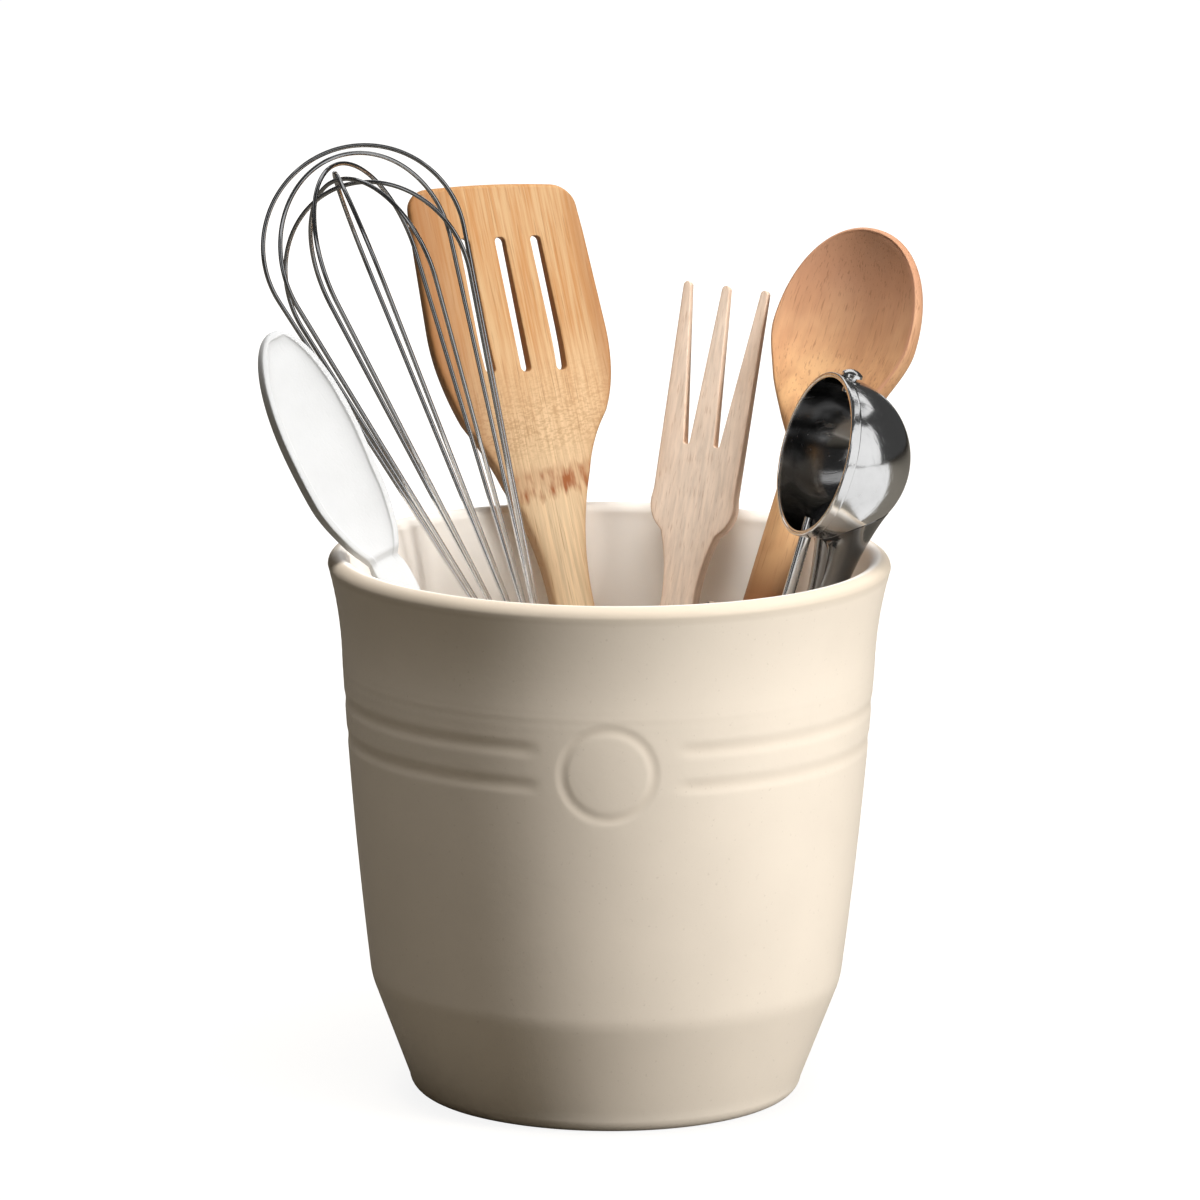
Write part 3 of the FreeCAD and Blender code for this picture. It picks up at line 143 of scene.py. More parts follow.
class CrockLook(bpy.types.PropertyGroup):
    """Sizes and colours of the glazed crock."""
    rim_radius: metres("Rim radius", "Outer radius of the lip", 0.080)
    height: metres("Height", "Floor to the top of the lip", 0.156)
    lip: metres("Lip", "Thickness of the rolled lip", 0.0064)
    wall: metres("Wall", "Thickness of the wall", 0.006)
    groove_depth: metres("Groove depth", "Depth of the two pressed bands", 0.00027)
    ring_depth: metres("Ring depth", "Depth of the medallion's ring", 0.00024)
    turning: metres("Turning lines", "Height of the faint lines left by turning", 0.00003)
    glaze: colour("Glaze", "Colour of the cream glaze", (0.85, 0.755, 0.635))
    pooled: colour("Pooled glaze", "Colour where the glaze gathers", (0.78, 0.67, 0.54))
    # Painted light: the paler inside colour stands in for light that the inside of the crock lacks.
    inside: colour("Inside", "Colour of the glaze inside", (0.95, 0.895, 0.82))
    # Painted shade: this colour darkens the top of the lip all round.
    thin: colour("Thin glaze", "Colour on the lip, where the glaze is thin", (0.64, 0.55, 0.44))


class WhiteSpoonLook(bpy.types.PropertyGroup):
    """Sizes and colour of the white moulded spoon."""
    __annotations__ = spoon_properties(
        square=2.8, soft=0.4, length=0.233, head_length=0.072, head_width=0.025, head_depth=0.013,
        shift=-0.002, handle_width=0.0106, handle_depth=0.0086, rim=0.0016, ramp=0.012, set_back=0.012,
        dip=0.0016, border=0.002, hollow=0.0014)
    plastic: colour("Plastic", "Colour of the plastic", (0.575, 0.58, 0.58))


class WoodenSpoonLook(bpy.types.PropertyGroup):
    """Sizes and colours of the carved wooden spoon."""
    __annotations__ = spoon_properties(
        square=2.0, soft=0.85, length=0.2505, head_length=0.068, head_width=0.045, head_depth=0.022,
        shift=0.0, handle_width=0.0114, handle_depth=0.0102, rim=0.0032, ramp=0.012, set_back=0.0,
        dip=0.0, border=0.0012, hollow=0.008)
    wood: colour("Wood", "Main colour of the wood", (0.58, 0.325, 0.155))
    dark: colour("Dark grain", "Colour of the dark grain", (0.34, 0.16, 0.075))
    tip: colour("Tip", "Colour of the redder wood at the tip", (0.52, 0.275, 0.172))
    pale: colour("Pale", "Colour of the paler patches", (0.72, 0.45, 0.22))
    # Painted shade: darkens the handle below the rim, where it goes down into the crock.
    handle_shade: colour("Stain", "Colour of the stained handle", (0.22, 0.09, 0.035))


class TurnerLook(bpy.types.PropertyGroup):
    """Sizes and colours of the bamboo turner."""
    length: metres("Length", "Whole length", 0.2475)
    handle_width: metres("Handle width", "Width of the handle", 0.0128)
    blade_width: metres("Blade width", "Widest width of the blade", 0.0532)
    top_width: metres("Top width", "Width of the blade below its corners", 0.0504)
    thickness: metres("Thickness", "Thickness of the handle", 0.0066)
    tip_thickness: metres("Tip thickness", "Thickness at the top edge", 0.0032)
    slot_width: metres("Slot width", "Width of each slot", 0.003)
    slot_spacing: metres("Slot spacing", "Distance between the slots", 0.011)
    slant: metres("Slant", "Rise of the top edge from right to left", 0.0076)
    bamboo: colour("Bamboo", "Pale colour of the strips", (0.57, 0.365, 0.188))
    # Painted light: the paler handle stands in for light on the turner's lower part, which lies in shade.
    handle: colour("Handle", "Paler colour of the handle", (0.84, 0.63, 0.39))
    fibre: colour("Fibre", "Colour of the darker fibres", (0.42, 0.20, 0.072))
    node: colour("Node", "Colour of the band where the cane had a joint", (0.34, 0.105, 0.035))
    toast: colour("Toast", "Colour of the darker sides of the blade", (0.34, 0.145, 0.055))


class ForkLook(bpy.types.PropertyGroup):
    """Sizes and colours of the three-tined fork."""
    length: metres("Length", "Whole length", 0.2187)
    handle_width: metres("Handle width", "Width of the handle", 0.0102)
    shoulder_width: metres("Shoulder width", "Width below the tines", 0.0248)
    spread: metres("Spread", "Width over the tips", 0.0262)
    thickness: metres("Thickness", "Thickness of the handle", 0.006)
    tip_thickness: metres("Tip thickness", "Thickness at the tips", 0.0026)
    beech: colour("Beech", "Main colour of the wood", (0.82, 0.665, 0.535))
    fleck: colour("Fleck", "Colour of the flecks", (0.46, 0.28, 0.17))


class WhiskLook(bpy.types.PropertyGroup):
    """Sizes and colours of the balloon whisk."""
    wire: metres("Wire", "Radius of the loop wire", 0.00065)
    balloon: metres("Balloon", "Radius of the balloon", 0.029)
    grip: metres("Grip", "Radius of the handle", 0.007)
    steel: colour("Steel", "Colour of the steel", (0.55, 0.56, 0.57))
    loops: colour("Loops", "Colour of the loop wire", (0.86, 0.865, 0.87))
    # Painted reflection: the loops darken towards the crown, standing in for dark surroundings they reflect.
    crown: colour("Crown", "Colour of the loop wire where it is dulled", (0.38, 0.385, 0.39))
    plug: colour("Plug", "Colour of the plug that holds the wire ends", (0.30, 0.29, 0.28))


class ScoopLook(bpy.types.PropertyGroup):
    """Sizes and colours of the polished scoop."""
    bowl: metres("Bowl", "Outer radius of the bowl", 0.0232)
    wall: metres("Wall", "Thickness of the bowl", 0.001)
    grip: metres("Grip", "Radius of the handle", 0.0072)
    chrome: colour("Chrome", "Colour of the polished metal", (0.80, 0.80, 0.80))
    # Painted reflection: darker metal inside the bowl and on the stem stands in for dark surroundings it
    # reflects.
    dark_reflection: colour("Dull inside", "Colour of the metal inside the bowl and on the stem", (0.26, 0.26, 0.26))
    gear: colour("Gear", "Colour of the rack, pinion, spring and screws", (0.46, 0.45, 0.44))


class StageLook(bpy.types.PropertyGroup):
    """Light, floor and camera."""
    key: amount("Key", "Watts of the key light", 25.5)
    top: amount("Top", "Watts of the high front light", 33.0)
    back: amount("Back", "Watts of the light behind the crock", 14.0)
    fill: amount("Fill", "Strength of the light from all round", 0.05)
    warmth: colour("Warmth", "Colour of the light from all round", (1.0, 0.79, 0.54))
    floor: colour("Floor", "Colour of the floor", (0.15, 0.138, 0.118))
    card: colour("Dark cards", "Colour of the cards that polished metal reflects", (0.06, 0.06, 0.06))
    lens: amount("Lens", "Focal length in millimetres on a 36 mm sensor", 270.0)


def node_points(node):
    """Points of a CAD node's mesh, in metres."""
    mesh = frame["nodes"][node].data
    points = np.empty(3 * len(mesh.vertices))
    mesh.vertices.foreach_get("co", points)
    return points.reshape(-1, 3)


def tilt(utensil):
    """Place of a utensil: Z along its lift joint, -Y towards the side that its front looks to.

    Its foot lies on the middle line of the handle's even part, level with the utensil's lowest point.
    """
    front, handle, lowest = STANDS[utensil]
    lift = next(joint for joint in frame["joints"] if joint["name"] == utensil + "_lift")
    axis = Vector(lift["axis"]).normalized()
    way = math.radians(front)
    facing = Vector((math.sin(way), -math.cos(way), 0))
    behind = (axis * facing.dot(axis) - facing).normalized()
    own = np.array((behind.cross(axis), behind, axis))
    foot = (node_points(lowest) @ own[2]).min()
    points = node_points(handle) @ own.T
    even = points[points[:, 2] < foot + EVEN_REACH, :2]
    place = Matrix(own.T.tolist()).to_4x4()
    place.translation = own.T @ np.append((even.max(0) + even.min(0)) / 2, foot)
    return place


def line(start, end, count):
    """Points from start towards end, the end left off: start + t (end - start)."""
    start, end = np.asarray(start, float), np.asarray(end, float)
    return start + np.linspace(0, 1, count, endpoint=False)[:, None] * (end - start)


def arc(start, end, radius, bulge, count):
    """Points on a circle of a radius through start and end, the end left off; bulge is 1 left, -1 right."""
    start, end = np.asarray(start, float), np.asarray(end, float)
    chord = end - start
    left = np.array([-chord[1], chord[0]]) / np.linalg.norm(chord)
    centre = (start + end) / 2 - bulge * left * math.sqrt(radius ** 2 - chord @ chord / 4)
    first = math.atan2(start[1] - centre[1], start[0] - centre[0])
    last = math.atan2(end[1] - centre[1], end[0] - centre[0])
    turn = (last - first + math.pi) % (2 * math.pi) - math.pi
    angle = first + turn * np.linspace(0, 1, count, endpoint=False)
    return centre + radius * np.stack([np.cos(angle), np.sin(angle)], -1)


def smooth(low, high, value):
    """Step that eases from 0 at low to 1 at high: t t (3 - 2 t)."""
    share = np.clip((value - low) / (high - low), 0, 1)
    return share * share * (3 - 2 * share)


def eased(table, column, share):
    """Curve through a table's points with no overshoot: cubic pieces with harmonic mean slopes."""
    x, y = table[:, 0], table[:, column]
    slope = np.diff(y) / np.diff(x)
    same = slope[:-1] * slope[1:] > 0
    total = np.where(same, slope[:-1] + slope[1:], 1)
    inner = np.where(same, 2 * slope[:-1] * slope[1:] / total, 0)
    lean = np.concatenate([slope[:1], inner, slope[-1:]])
    at = np.clip(np.searchsorted(x, share) - 1, 0, len(slope) - 1)
    step = x[at + 1] - x[at]
    t = (share - x[at]) / step
    start = (2 * t ** 3 - 3 * t ** 2 + 1) * y[at] + (t ** 3 - 2 * t ** 2 + t) * step * lean[at]
    return start + (3 * t ** 2 - 2 * t ** 3) * y[at + 1] + (t ** 3 - t ** 2) * step * lean[at + 1]


def ring_faces(rows, around):
    """Quads between rings, facing outward where the rings run up and their points run anticlockwise."""
    index = np.arange(rows * around).reshape(rows, around)
    following = np.roll(index, -1, axis=1)
    return np.stack([index[:-1], following[:-1], following[1:], index[1:]], -1).reshape(-1, 4)


def skin(rings):
    """Closed skin over rings of points, the first and last ring drawn in to their middles."""
    rows, around = rings.shape[:2]
    points = np.concatenate([rings.reshape(-1, 3), rings[:1].mean(1), rings[-1:].mean(1)])
    first = np.arange(around)
    last = first + (rows - 1) * around
    low = np.stack([np.full(around, rows * around), np.roll(first, -1), first], -1)
    high = np.stack([np.full(around, rows * around + 1), last, np.roll(last, -1)], -1)
    return points, ring_faces(rows, around).tolist() + low.tolist() + high.tolist()


def turned(profile, around=48):
    """Rings of a surface of revolution about Z: (r cos a, r sin a, z) for a profile of (r, z) points."""
    angle = np.linspace(0, 2 * math.pi, around, endpoint=False)
    radius, height = profile[:, :1], np.broadcast_to(profile[:, 1:], (len(profile), around))
    return np.stack([radius * np.cos(angle), radius * np.sin(angle), height], -1)


def turned_pipe(profile, around=48):
    """Surface of revolution of a closed profile: its last ring is joined to its first."""
    count = len(profile) * around
    return turned(profile, around).reshape(-1, 3), (ring_faces(len(profile) + 1, around) % count).tolist()


def tube(path, side, radius, around=12):
    """Round tube: path + r (cos a side + sin a (way x side)), side being square to a flat path."""
    way = np.gradient(path, axis=0)
    way /= np.linalg.norm(way, axis=1, keepdims=True)
    side = np.broadcast_to(np.asarray(side, float), path.shape)
    side = side - way * np.sum(side * way, axis=1, keepdims=True)
    side = side / np.linalg.norm(side, axis=1, keepdims=True)
    other = np.cross(way, side)
    angle = np.linspace(0, 2 * math.pi, around, endpoint=False)[None, :, None]
    return path[:, None] + radius * (np.cos(angle) * side[:, None] + np.sin(angle) * other[:, None])


def dome_profile(base, radius, rise, count=10):
    """Half of a shallow round end: from the axis out to a radius, rising from its base."""
    ball = (radius ** 2 + rise ** 2) / (2 * rise)
    reach = radius * np.sin(np.linspace(0.03, math.pi / 2, count))
    return np.stack([reach, base + ball - np.sqrt(ball ** 2 - reach ** 2)], -1)


def piece(name, surface, finish, body, nodes, place=None, sharp=45.0, wear_and_shade=None, weld=False):
    """Makes one mesh of a (points, faces) surface in millimetres and lets it stand for CAD nodes."""
    points, faces = surface
    if place is not None:
        points = points @ np.array(place.to_3x3()).T + np.array(place.translation) / MM
    mesh = bpy.data.meshes.new(name)
    mesh.from_pydata((points * MM).tolist(), [], faces)
    if wear_and_shade is not None:
        values = np.zeros(len(points), np.float32)
        values[:len(wear_and_shade)] = wear_and_shade
        mesh.attributes.new("wear_and_shade", "FLOAT", "POINT").data.foreach_set("value", values)
    if weld:
        work = bmesh.new()
        work.from_mesh(mesh)
        bmesh.ops.remove_doubles(work, verts=work.verts, dist=2e-7)
        work.to_mesh(mesh)
        work.free()
    mesh.validate()
    mesh.shade_smooth()
    mesh.set_sharp_from_angle(angle=math.radians(sharp))
    mesh.materials.append(finish)
    thing = bpy.data.objects.new(name, mesh)
    bpy.context.scene.collection.objects.link(thing)
    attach(thing, body)
    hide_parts(*nodes)
    return thing


def dress(name, finish):
    """Gives a CAD node that keeps its shape its finish."""
    mesh = frame["nodes"][name].data
    mesh.materials.clear()
    mesh.materials.append(finish)


def put(tree, kind, sockets=None, **settings):
    """Adds a node; each socket's entry is a plain value or the output that feeds it."""
    node = tree.nodes.new(kind)
    for key, value in settings.items():
        setattr(node, key, value)
    for key, value in (sockets or {}).items():
        if isinstance(value, bpy.types.NodeSocket):
            tree.links.new(value, node.inputs[key])
        else:
            node.inputs[key].default_value = value
    return node


def blend(tree, share, first, second):
    """Colour between two colours by a share."""
    return put(tree, "ShaderNodeMix", {0: share, 6: first, 7: second}, data_type="RGBA").outputs[2]


def spread(tree, value, low, high, to_low=0.0, to_high=1.0):
    """Value stretched from one range to another and held at its ends."""
    sockets = {"Value": value, "From Min": low, "From Max": high, "To Min": to_low, "To Max": to_high}
    return put(tree, "ShaderNodeMapRange", sockets, clamp=True).outputs["Result"]


def sums(tree, how, first, second):
    """Result of one sum, such as ADD, of two values."""
    return put(tree, "ShaderNodeMath", {0: first, 1: second}, operation=how).outputs[0]


def window(tree, value, low, full, fade, high):
    """1 where a value is between full and fade, easing to 0 at low and at high."""
    return sums(tree, "MULTIPLY", spread(tree, value, low, full), spread(tree, value, high, fade))


def noise(tree, vector, scale, detail, roughness=0.5, distortion=0.0):
    """Cloudy noise, mostly between 0.2 and 0.8."""
    return put(tree, "ShaderNodeTexNoise", {
        "Vector": vector, "Scale": scale, "Detail": detail, "Roughness": roughness,
        "Distortion": distortion}).outputs["Fac"]


def wear_and_shade_mask(tree):
    """The piece's own mask: pooled glaze on the crock, edge marks on the turner and fork, and painted
    highlight and painted reflections on the others.
    """
    return put(tree, "ShaderNodeAttribute", attribute_name="wear_and_shade").outputs["Fac"]


def split(tree, vector):
    """The three parts of a vector."""
    return put(tree, "ShaderNodeSeparateXYZ", {0: vector}).outputs


def new_group(name, inputs, outputs):
    """Empty node group with its sockets; returns the tree and its two ends."""
    tree = bpy.data.node_groups.new(name, "ShaderNodeTree")
    tree.interface.new_socket("Vector", in_out="INPUT", socket_type="NodeSocketVector")
    for label, default in inputs.items():
        socket = tree.interface.new_socket(label, in_out="INPUT", socket_type="NodeSocketFloat")
        socket.default_value = default
    for label in outputs:
        tree.interface.new_socket(label, in_out="OUTPUT", socket_type="NodeSocketFloat")
    return tree, tree.nodes.new("NodeGroupInput").outputs, tree.nodes.new("NodeGroupOutput").inputs


def grain_group():
    """Wood grain along Z: noise drawn out along the grain for streaks and pores, even noise for patches."""
    found = bpy.data.node_groups.get("wood_grain")
    if found:
        return found
    scales = {"Streak Scale": 600.0, "Pore Scale": 1800.0, "Draw": 0.03}
    tree, source, result = new_group("wood_grain", scales, ("Streak", "Pore", "Patch"))
    stretch = put(tree, "ShaderNodeCombineXYZ", {0: 1.0, 1: 1.0, 2: source["Draw"]}).outputs[0]
    factors = {0: source["Vector"], 1: stretch}
    drawn = put(tree, "ShaderNodeVectorMath", factors, operation="MULTIPLY").outputs[0]
    pore = noise(tree, drawn, source["Pore Scale"], 2.0)
    tree.links.new(noise(tree, drawn, source["Streak Scale"], 4.0, 0.6, 0.4), result["Streak"])
    tree.links.new(spread(tree, pore, 0.58, 0.70), result["Pore"])
    tree.links.new(noise(tree, source["Vector"], 45.0, 3.0), result["Patch"])
    return tree


def scuff_group():
    """Fine wear: cloudy noise for the gloss and thin crossing scratches for the height."""
    found = bpy.data.node_groups.get("fine_wear")
    if found:
        return found
    tree, source, result = new_group("fine_wear", {"Scale": 60.0}, ("Cloud", "Scratch"))
    stretch = put(tree, "ShaderNodeMapping", {
        "Vector": source["Vector"], "Rotation": (0.4, 0.9, 0.3), "Scale": (1.0, 18.0, 3.0)}).outputs[0]
    scratch = noise(tree, stretch, 140.0, 2.0, 0.4)
    tree.links.new(noise(tree, source["Vector"], source["Scale"], 5.0, 0.65), result["Cloud"])
    tree.links.new(spread(tree, scratch, 0.60, 0.72), result["Scratch"])
    return tree


def grain(tree, spot, streak, pore, draw):
    """Outputs of the wood grain with a wood's own scales."""
    sockets = {"Vector": spot, "Streak Scale": streak, "Pore Scale": pore, "Draw": draw}
    return put(tree, "ShaderNodeGroup", sockets, node_tree=grain_group()).outputs


def scuffs(tree, spot, scale):
    """Outputs of the fine wear at a scale."""
    return put(tree, "ShaderNodeGroup", {"Vector": spot, "Scale": scale}, node_tree=scuff_group()).outputs


def new_finish(name):
    """Empty finish: its node tree, its shader and the piece's own coordinates."""
    finish = bpy.data.materials.new(name)
    finish.use_nodes = True
    tree = finish.node_tree
    return finish, tree, tree.nodes["Principled BSDF"], tree.nodes.new("ShaderNodeTexCoord").outputs["Object"]


def coat(tree, shader, tone, gloss, height=None, strength=0.0, depth=0.0):
    """Feeds a shader its colour, its roughness and the height that bumps its surface."""
    tree.links.new(tone, shader.inputs["Base Color"])
    tree.links.new(gloss, shader.inputs["Roughness"])
    if height:
        bump = put(tree, "ShaderNodeBump", {"Height": height, "Strength": strength, "Distance": depth})
        tree.links.new(bump.outputs[0], shader.inputs["Normal"])


def wood_coat(tree, shader, tone, fibre, low, high, strength, depth):
    """Coat of a wood, whose gloss follows the streaks, with raised streaks and sunk pores."""
    height = sums(tree, "SUBTRACT", fibre["Streak"], fibre["Pore"])
    coat(tree, shader, tone, spread(tree, fibre["Streak"], 0.3, 0.7, low, high), height, strength, depth)


def shade(rgb, factor=1.0):
    """Colour with alpha, made lighter or darker."""
    return tuple(min(1.0, part * factor) for part in rgb) + (1.0,)


def painted_light_mask(tree, spot):
    """1 within the crock, where the glaze is painted lighter: inside the middle of its wall and above the
    middle of its floor.
    """
    floor_height, belly_height, rim_height = 0.009, 0.037, 0.156
    floor_radius, belly_radius, wall_lean, blur = 0.0525, 0.0646, 0.0125, 0.0005
    axes = split(tree, spot)
    flat = put(tree, "ShaderNodeCombineXYZ", {0: axes[0], 1: axes[1]}).outputs[0]
    out = put(tree, "ShaderNodeVectorMath", {0: flat}, operation="LENGTH").outputs["Value"]
    below = spread(tree, axes[2], floor_height, belly_height, floor_radius, belly_radius)
    above = spread(tree, axes[2], belly_height, rim_height, 0.0, wall_lean)
    past = sums(tree, "SUBTRACT", out, sums(tree, "ADD", below, above))
    return sums(tree, "MULTIPLY", spread(tree, past, blur, -blur), spread(tree, axes[2], 0.005, 0.007))


def glaze_finish(look):
    """Cream glaze: mottled and specked, darker where it pools, painted shade on the lip, painted light
    inside, a faint orange peel.
    """
    finish, tree, shader, spot = new_finish("cream_glaze")
    lip_low, lip_full = 0.1505, 0.1540
    mottle = noise(tree, spot, 28.0, 4.0, 0.55)
    specks = spread(tree, noise(tree, spot, 900.0, 1.0), 0.70, 0.80, 0.0, 0.35)
    even = blend(tree, spread(tree, mottle, 0.3, 0.7), shade(look.glaze, 0.97), shade(look.glaze, 1.02))
    specked = blend(tree, specks, even, shade(look.pooled, 0.8))
    # Painted shade: the top of the lip takes the darker lip colour.
    lip_shaded = blend(tree, spread(tree, split(tree, spot)[2], lip_low, lip_full), specked, shade(look.thin))
    # Painted light: the inside of the crock takes the paler inside colour.
    lit_inside = blend(tree, painted_light_mask(tree, spot), lip_shaded, shade(look.inside))
    tone = blend(tree, wear_and_shade_mask(tree), lit_inside, shade(look.pooled))
    gloss = spread(tree, mottle, 0.2, 0.8, 0.34, 0.42)
    coat(tree, shader, tone, gloss, noise(tree, spot, 420.0, 2.0), 0.05, 0.0006)
    shader.inputs["Specular IOR Level"].default_value = 0.22
    return finish


def plastic_finish(look):
    """White plastic: a fine moulded grain, cloudy gloss and thin scratches."""
    finish, tree, shader, spot = new_finish("white_plastic")
    wear = scuffs(tree, spot, 60.0)
    cloud = spread(tree, wear["Cloud"], 0.35, 0.75)
    tone = blend(tree, cloud, shade(look.plastic), shade(look.plastic, 0.95))
    height = sums(tree, "SUBTRACT", noise(tree, spot, 1500.0, 1.0), wear["Scratch"])
    coat(tree, shader, tone, spread(tree, wear["Cloud"], 0.3, 0.7, 0.34, 0.46), height, 0.05, 0.0004)
    return finish


def along(tree, spot, place):
    """Coordinates turned so that Z runs along a utensil from its foot."""
    sockets = {"Vector": spot, "Location": tuple(place.translation), "Rotation": tuple(place.to_euler())}
    return put(tree, "ShaderNodeMapping", sockets, vector_type="TEXTURE").outputs[0]


def spoon_wood_finish(look, place):
    """Oiled hardwood: dark bands, pale and dark patches, short pores, painted shade low on the handle, a
    redder tip, a painted highlight on the hollow's right rim.
    """
    finish, tree, shader, spot = new_finish("spoon_wood")
    shade_top, shade_full, tip_low, tip_full = 0.160, 0.138, 0.200, 0.236
    own = along(tree, spot, place)
    height = split(tree, own)[2]
    fibre = grain(tree, own, 460.0, 1900.0, 0.06)
    wave = put(tree, "ShaderNodeTexWave", {
        "Vector": own, "Scale": 62.0, "Distortion": 5.0, "Detail": 3.0, "Detail Scale": 1.2},
        wave_type="BANDS", bands_direction="X", wave_profile="SIN").outputs["Fac"]
    streaks = spread(tree, fibre["Streak"], 0.35, 0.68)
    base = blend(tree, streaks, shade(look.wood, 1.08), shade(look.wood, 0.80))
    banded = blend(tree, spread(tree, wave, 0.45, 1.0, 0.0, 0.22), base, shade(look.dark, 1.15))
    paler = blend(tree, spread(tree, fibre["Patch"], 0.52, 0.36, 0.0, 0.6), banded, shade(look.pale))
    # Painted shade: the handle darkens below the rim, where it goes down into the crock.
    shaded = blend(tree, spread(tree, height, shade_top, shade_full, 0.0, 0.92), paler, shade(look.handle_shade))
    ruddy = blend(tree, spread(tree, height, tip_low, tip_full, 0.0, 0.85), shaded, shade(look.tip))
    patchy = blend(tree, spread(tree, fibre["Patch"], 0.42, 0.72, 0.0, 0.4), ruddy, shade(look.dark, 1.25))
    pored = blend(tree, sums(tree, "MULTIPLY", fibre["Pore"], 0.5), patchy, shade(look.dark, 0.75))
    # Painted highlight: the hollow's right rim takes a redder colour.
    tone = blend(tree, wear_and_shade_mask(tree), pored, shade(look.tip, 1.15))
    wood_coat(tree, shader, tone, fibre, 0.48, 0.62, 0.12, 0.0005)
    return finish


def bamboo_finish(look, place):
    """Bamboo: pale strips with fine fibres, a stippled stretch, a red band at the cane's joint, a handle
    painted paler.
    """
    finish, tree, shader, spot = new_finish("bamboo")
    handle_top, blade_low = 0.150, 0.205
    stipple_reach, joint_reach = (0.164, 0.172, 0.180, 0.196), (0.1545, 0.1570, 0.1612, 0.1640)
    left_start, left_full, right_start, right_full, jag_reach = -0.0085, -0.0255, 0.0205, 0.0266, 0.0035
    own = along(tree, spot, place)
    across, _deep, height = split(tree, own)
    fibre = grain(tree, own, 1100.0, 2400.0, 0.03)
    streaks = spread(tree, fibre["Streak"], 0.38, 0.66)
    blade = blend(tree, streaks, shade(look.bamboo, 1.05), shade(look.fibre, 1.2))
    # Painted light: below the blade the turner takes the paler handle colour.
    handle = blend(tree, streaks, shade(look.handle, 1.06), shade(look.handle, 0.80))
    base = blend(tree, spread(tree, height, handle_top, blade_low), handle, blade)
    pored = blend(tree, sums(tree, "MULTIPLY", fibre["Pore"], 0.55), base, shade(look.fibre, 0.75))
    flat = put(tree, "ShaderNodeMapping", {"Vector": own, "Scale": (0.6, 1.0, 1.3)}).outputs[0]
    stipple = spread(tree, noise(tree, flat, 1400.0, 1.0), 0.46, 0.60)
    specks = sums(tree, "MULTIPLY", stipple, window(tree, height, *stipple_reach))
    stippled = blend(tree, sums(tree, "MULTIPLY", specks, 0.34), pored, shade(look.fibre, 0.8))
    left = spread(tree, across, left_start, left_full, 0.0, 0.9)
    right = spread(tree, across, right_start, right_full, 0.0, 0.75)
    sides = blend(tree, sums(tree, "MAXIMUM", left, right), stippled, shade(look.toast))
    tall = put(tree, "ShaderNodeMapping", {"Vector": own, "Scale": (1.0, 1.0, 0.22)}).outputs[0]
    jag = noise(tree, tall, 420.0, 3.0)
    jagged = sums(tree, "ADD", height, spread(tree, jag, 0.2, 0.8, -jag_reach, jag_reach))
    patches = spread(tree, jag, 0.38, 0.54, 0.25, 1.0)
    joint = sums(tree, "MULTIPLY", window(tree, jagged, *joint_reach), patches)
    marked = blend(tree, joint, sides, shade(look.node))
    tone = blend(tree, sums(tree, "MULTIPLY", wear_and_shade_mask(tree), 0.75), marked, shade(look.fibre, 0.9))
    wood_coat(tree, shader, tone, fibre, 0.42, 0.56, 0.10, 0.0004)
    return finish


def beech_finish(look, place):
    """Beech: pale pinkish wood with short dark flecks along the grain."""
    finish, tree, shader, spot = new_finish("beech")
    fibre = grain(tree, along(tree, spot, place), 900.0, 2000.0, 0.10)
    streaks = spread(tree, fibre["Streak"], 0.35, 0.68)
    base = blend(tree, streaks, shade(look.beech, 1.06), shade(look.beech, 0.84))
    flecked = blend(tree, sums(tree, "MULTIPLY", fibre["Pore"], 0.5), base, shade(look.fleck))
    warm = blend(tree, spread(tree, fibre["Patch"], 0.45, 0.8, 0.0, 0.2), flecked, shade(look.fleck, 1.5))
    tone = blend(tree, sums(tree, "MULTIPLY", wear_and_shade_mask(tree), 0.35), warm, shade(look.fleck, 1.4))
    wood_coat(tree, shader, tone, fibre, 0.55, 0.68, 0.12, 0.0004)
    return finish


def metal_finish(name, base, low, high, scale, bump, dark_reflection=None):
    """Polished metal: cloudy gloss, thin scratches where bump is not 0, painted darker where its mask says
    so.
    """
    finish, tree, shader, spot = new_finish(name)
    wear = scuffs(tree, spot, scale)
    tone = blend(tree, spread(tree, wear["Cloud"], 0.3, 0.7), shade(base), shade(base, 0.86))
    gloss = spread(tree, wear["Cloud"], 0.3, 0.75, low, high)
    if dark_reflection:
        tone = blend(tree, wear_and_shade_mask(tree), tone, shade(dark_reflection))
    if bump:
        gloss = sums(tree, "ADD", gloss, sums(tree, "MULTIPLY", wear["Scratch"], 0.12))
        coat(tree, shader, tone, gloss, wear["Scratch"], bump, 0.0002)
    else:
        coat(tree, shader, tone, gloss)
    shader.inputs["Metallic"].default_value = 1.0
    return finish


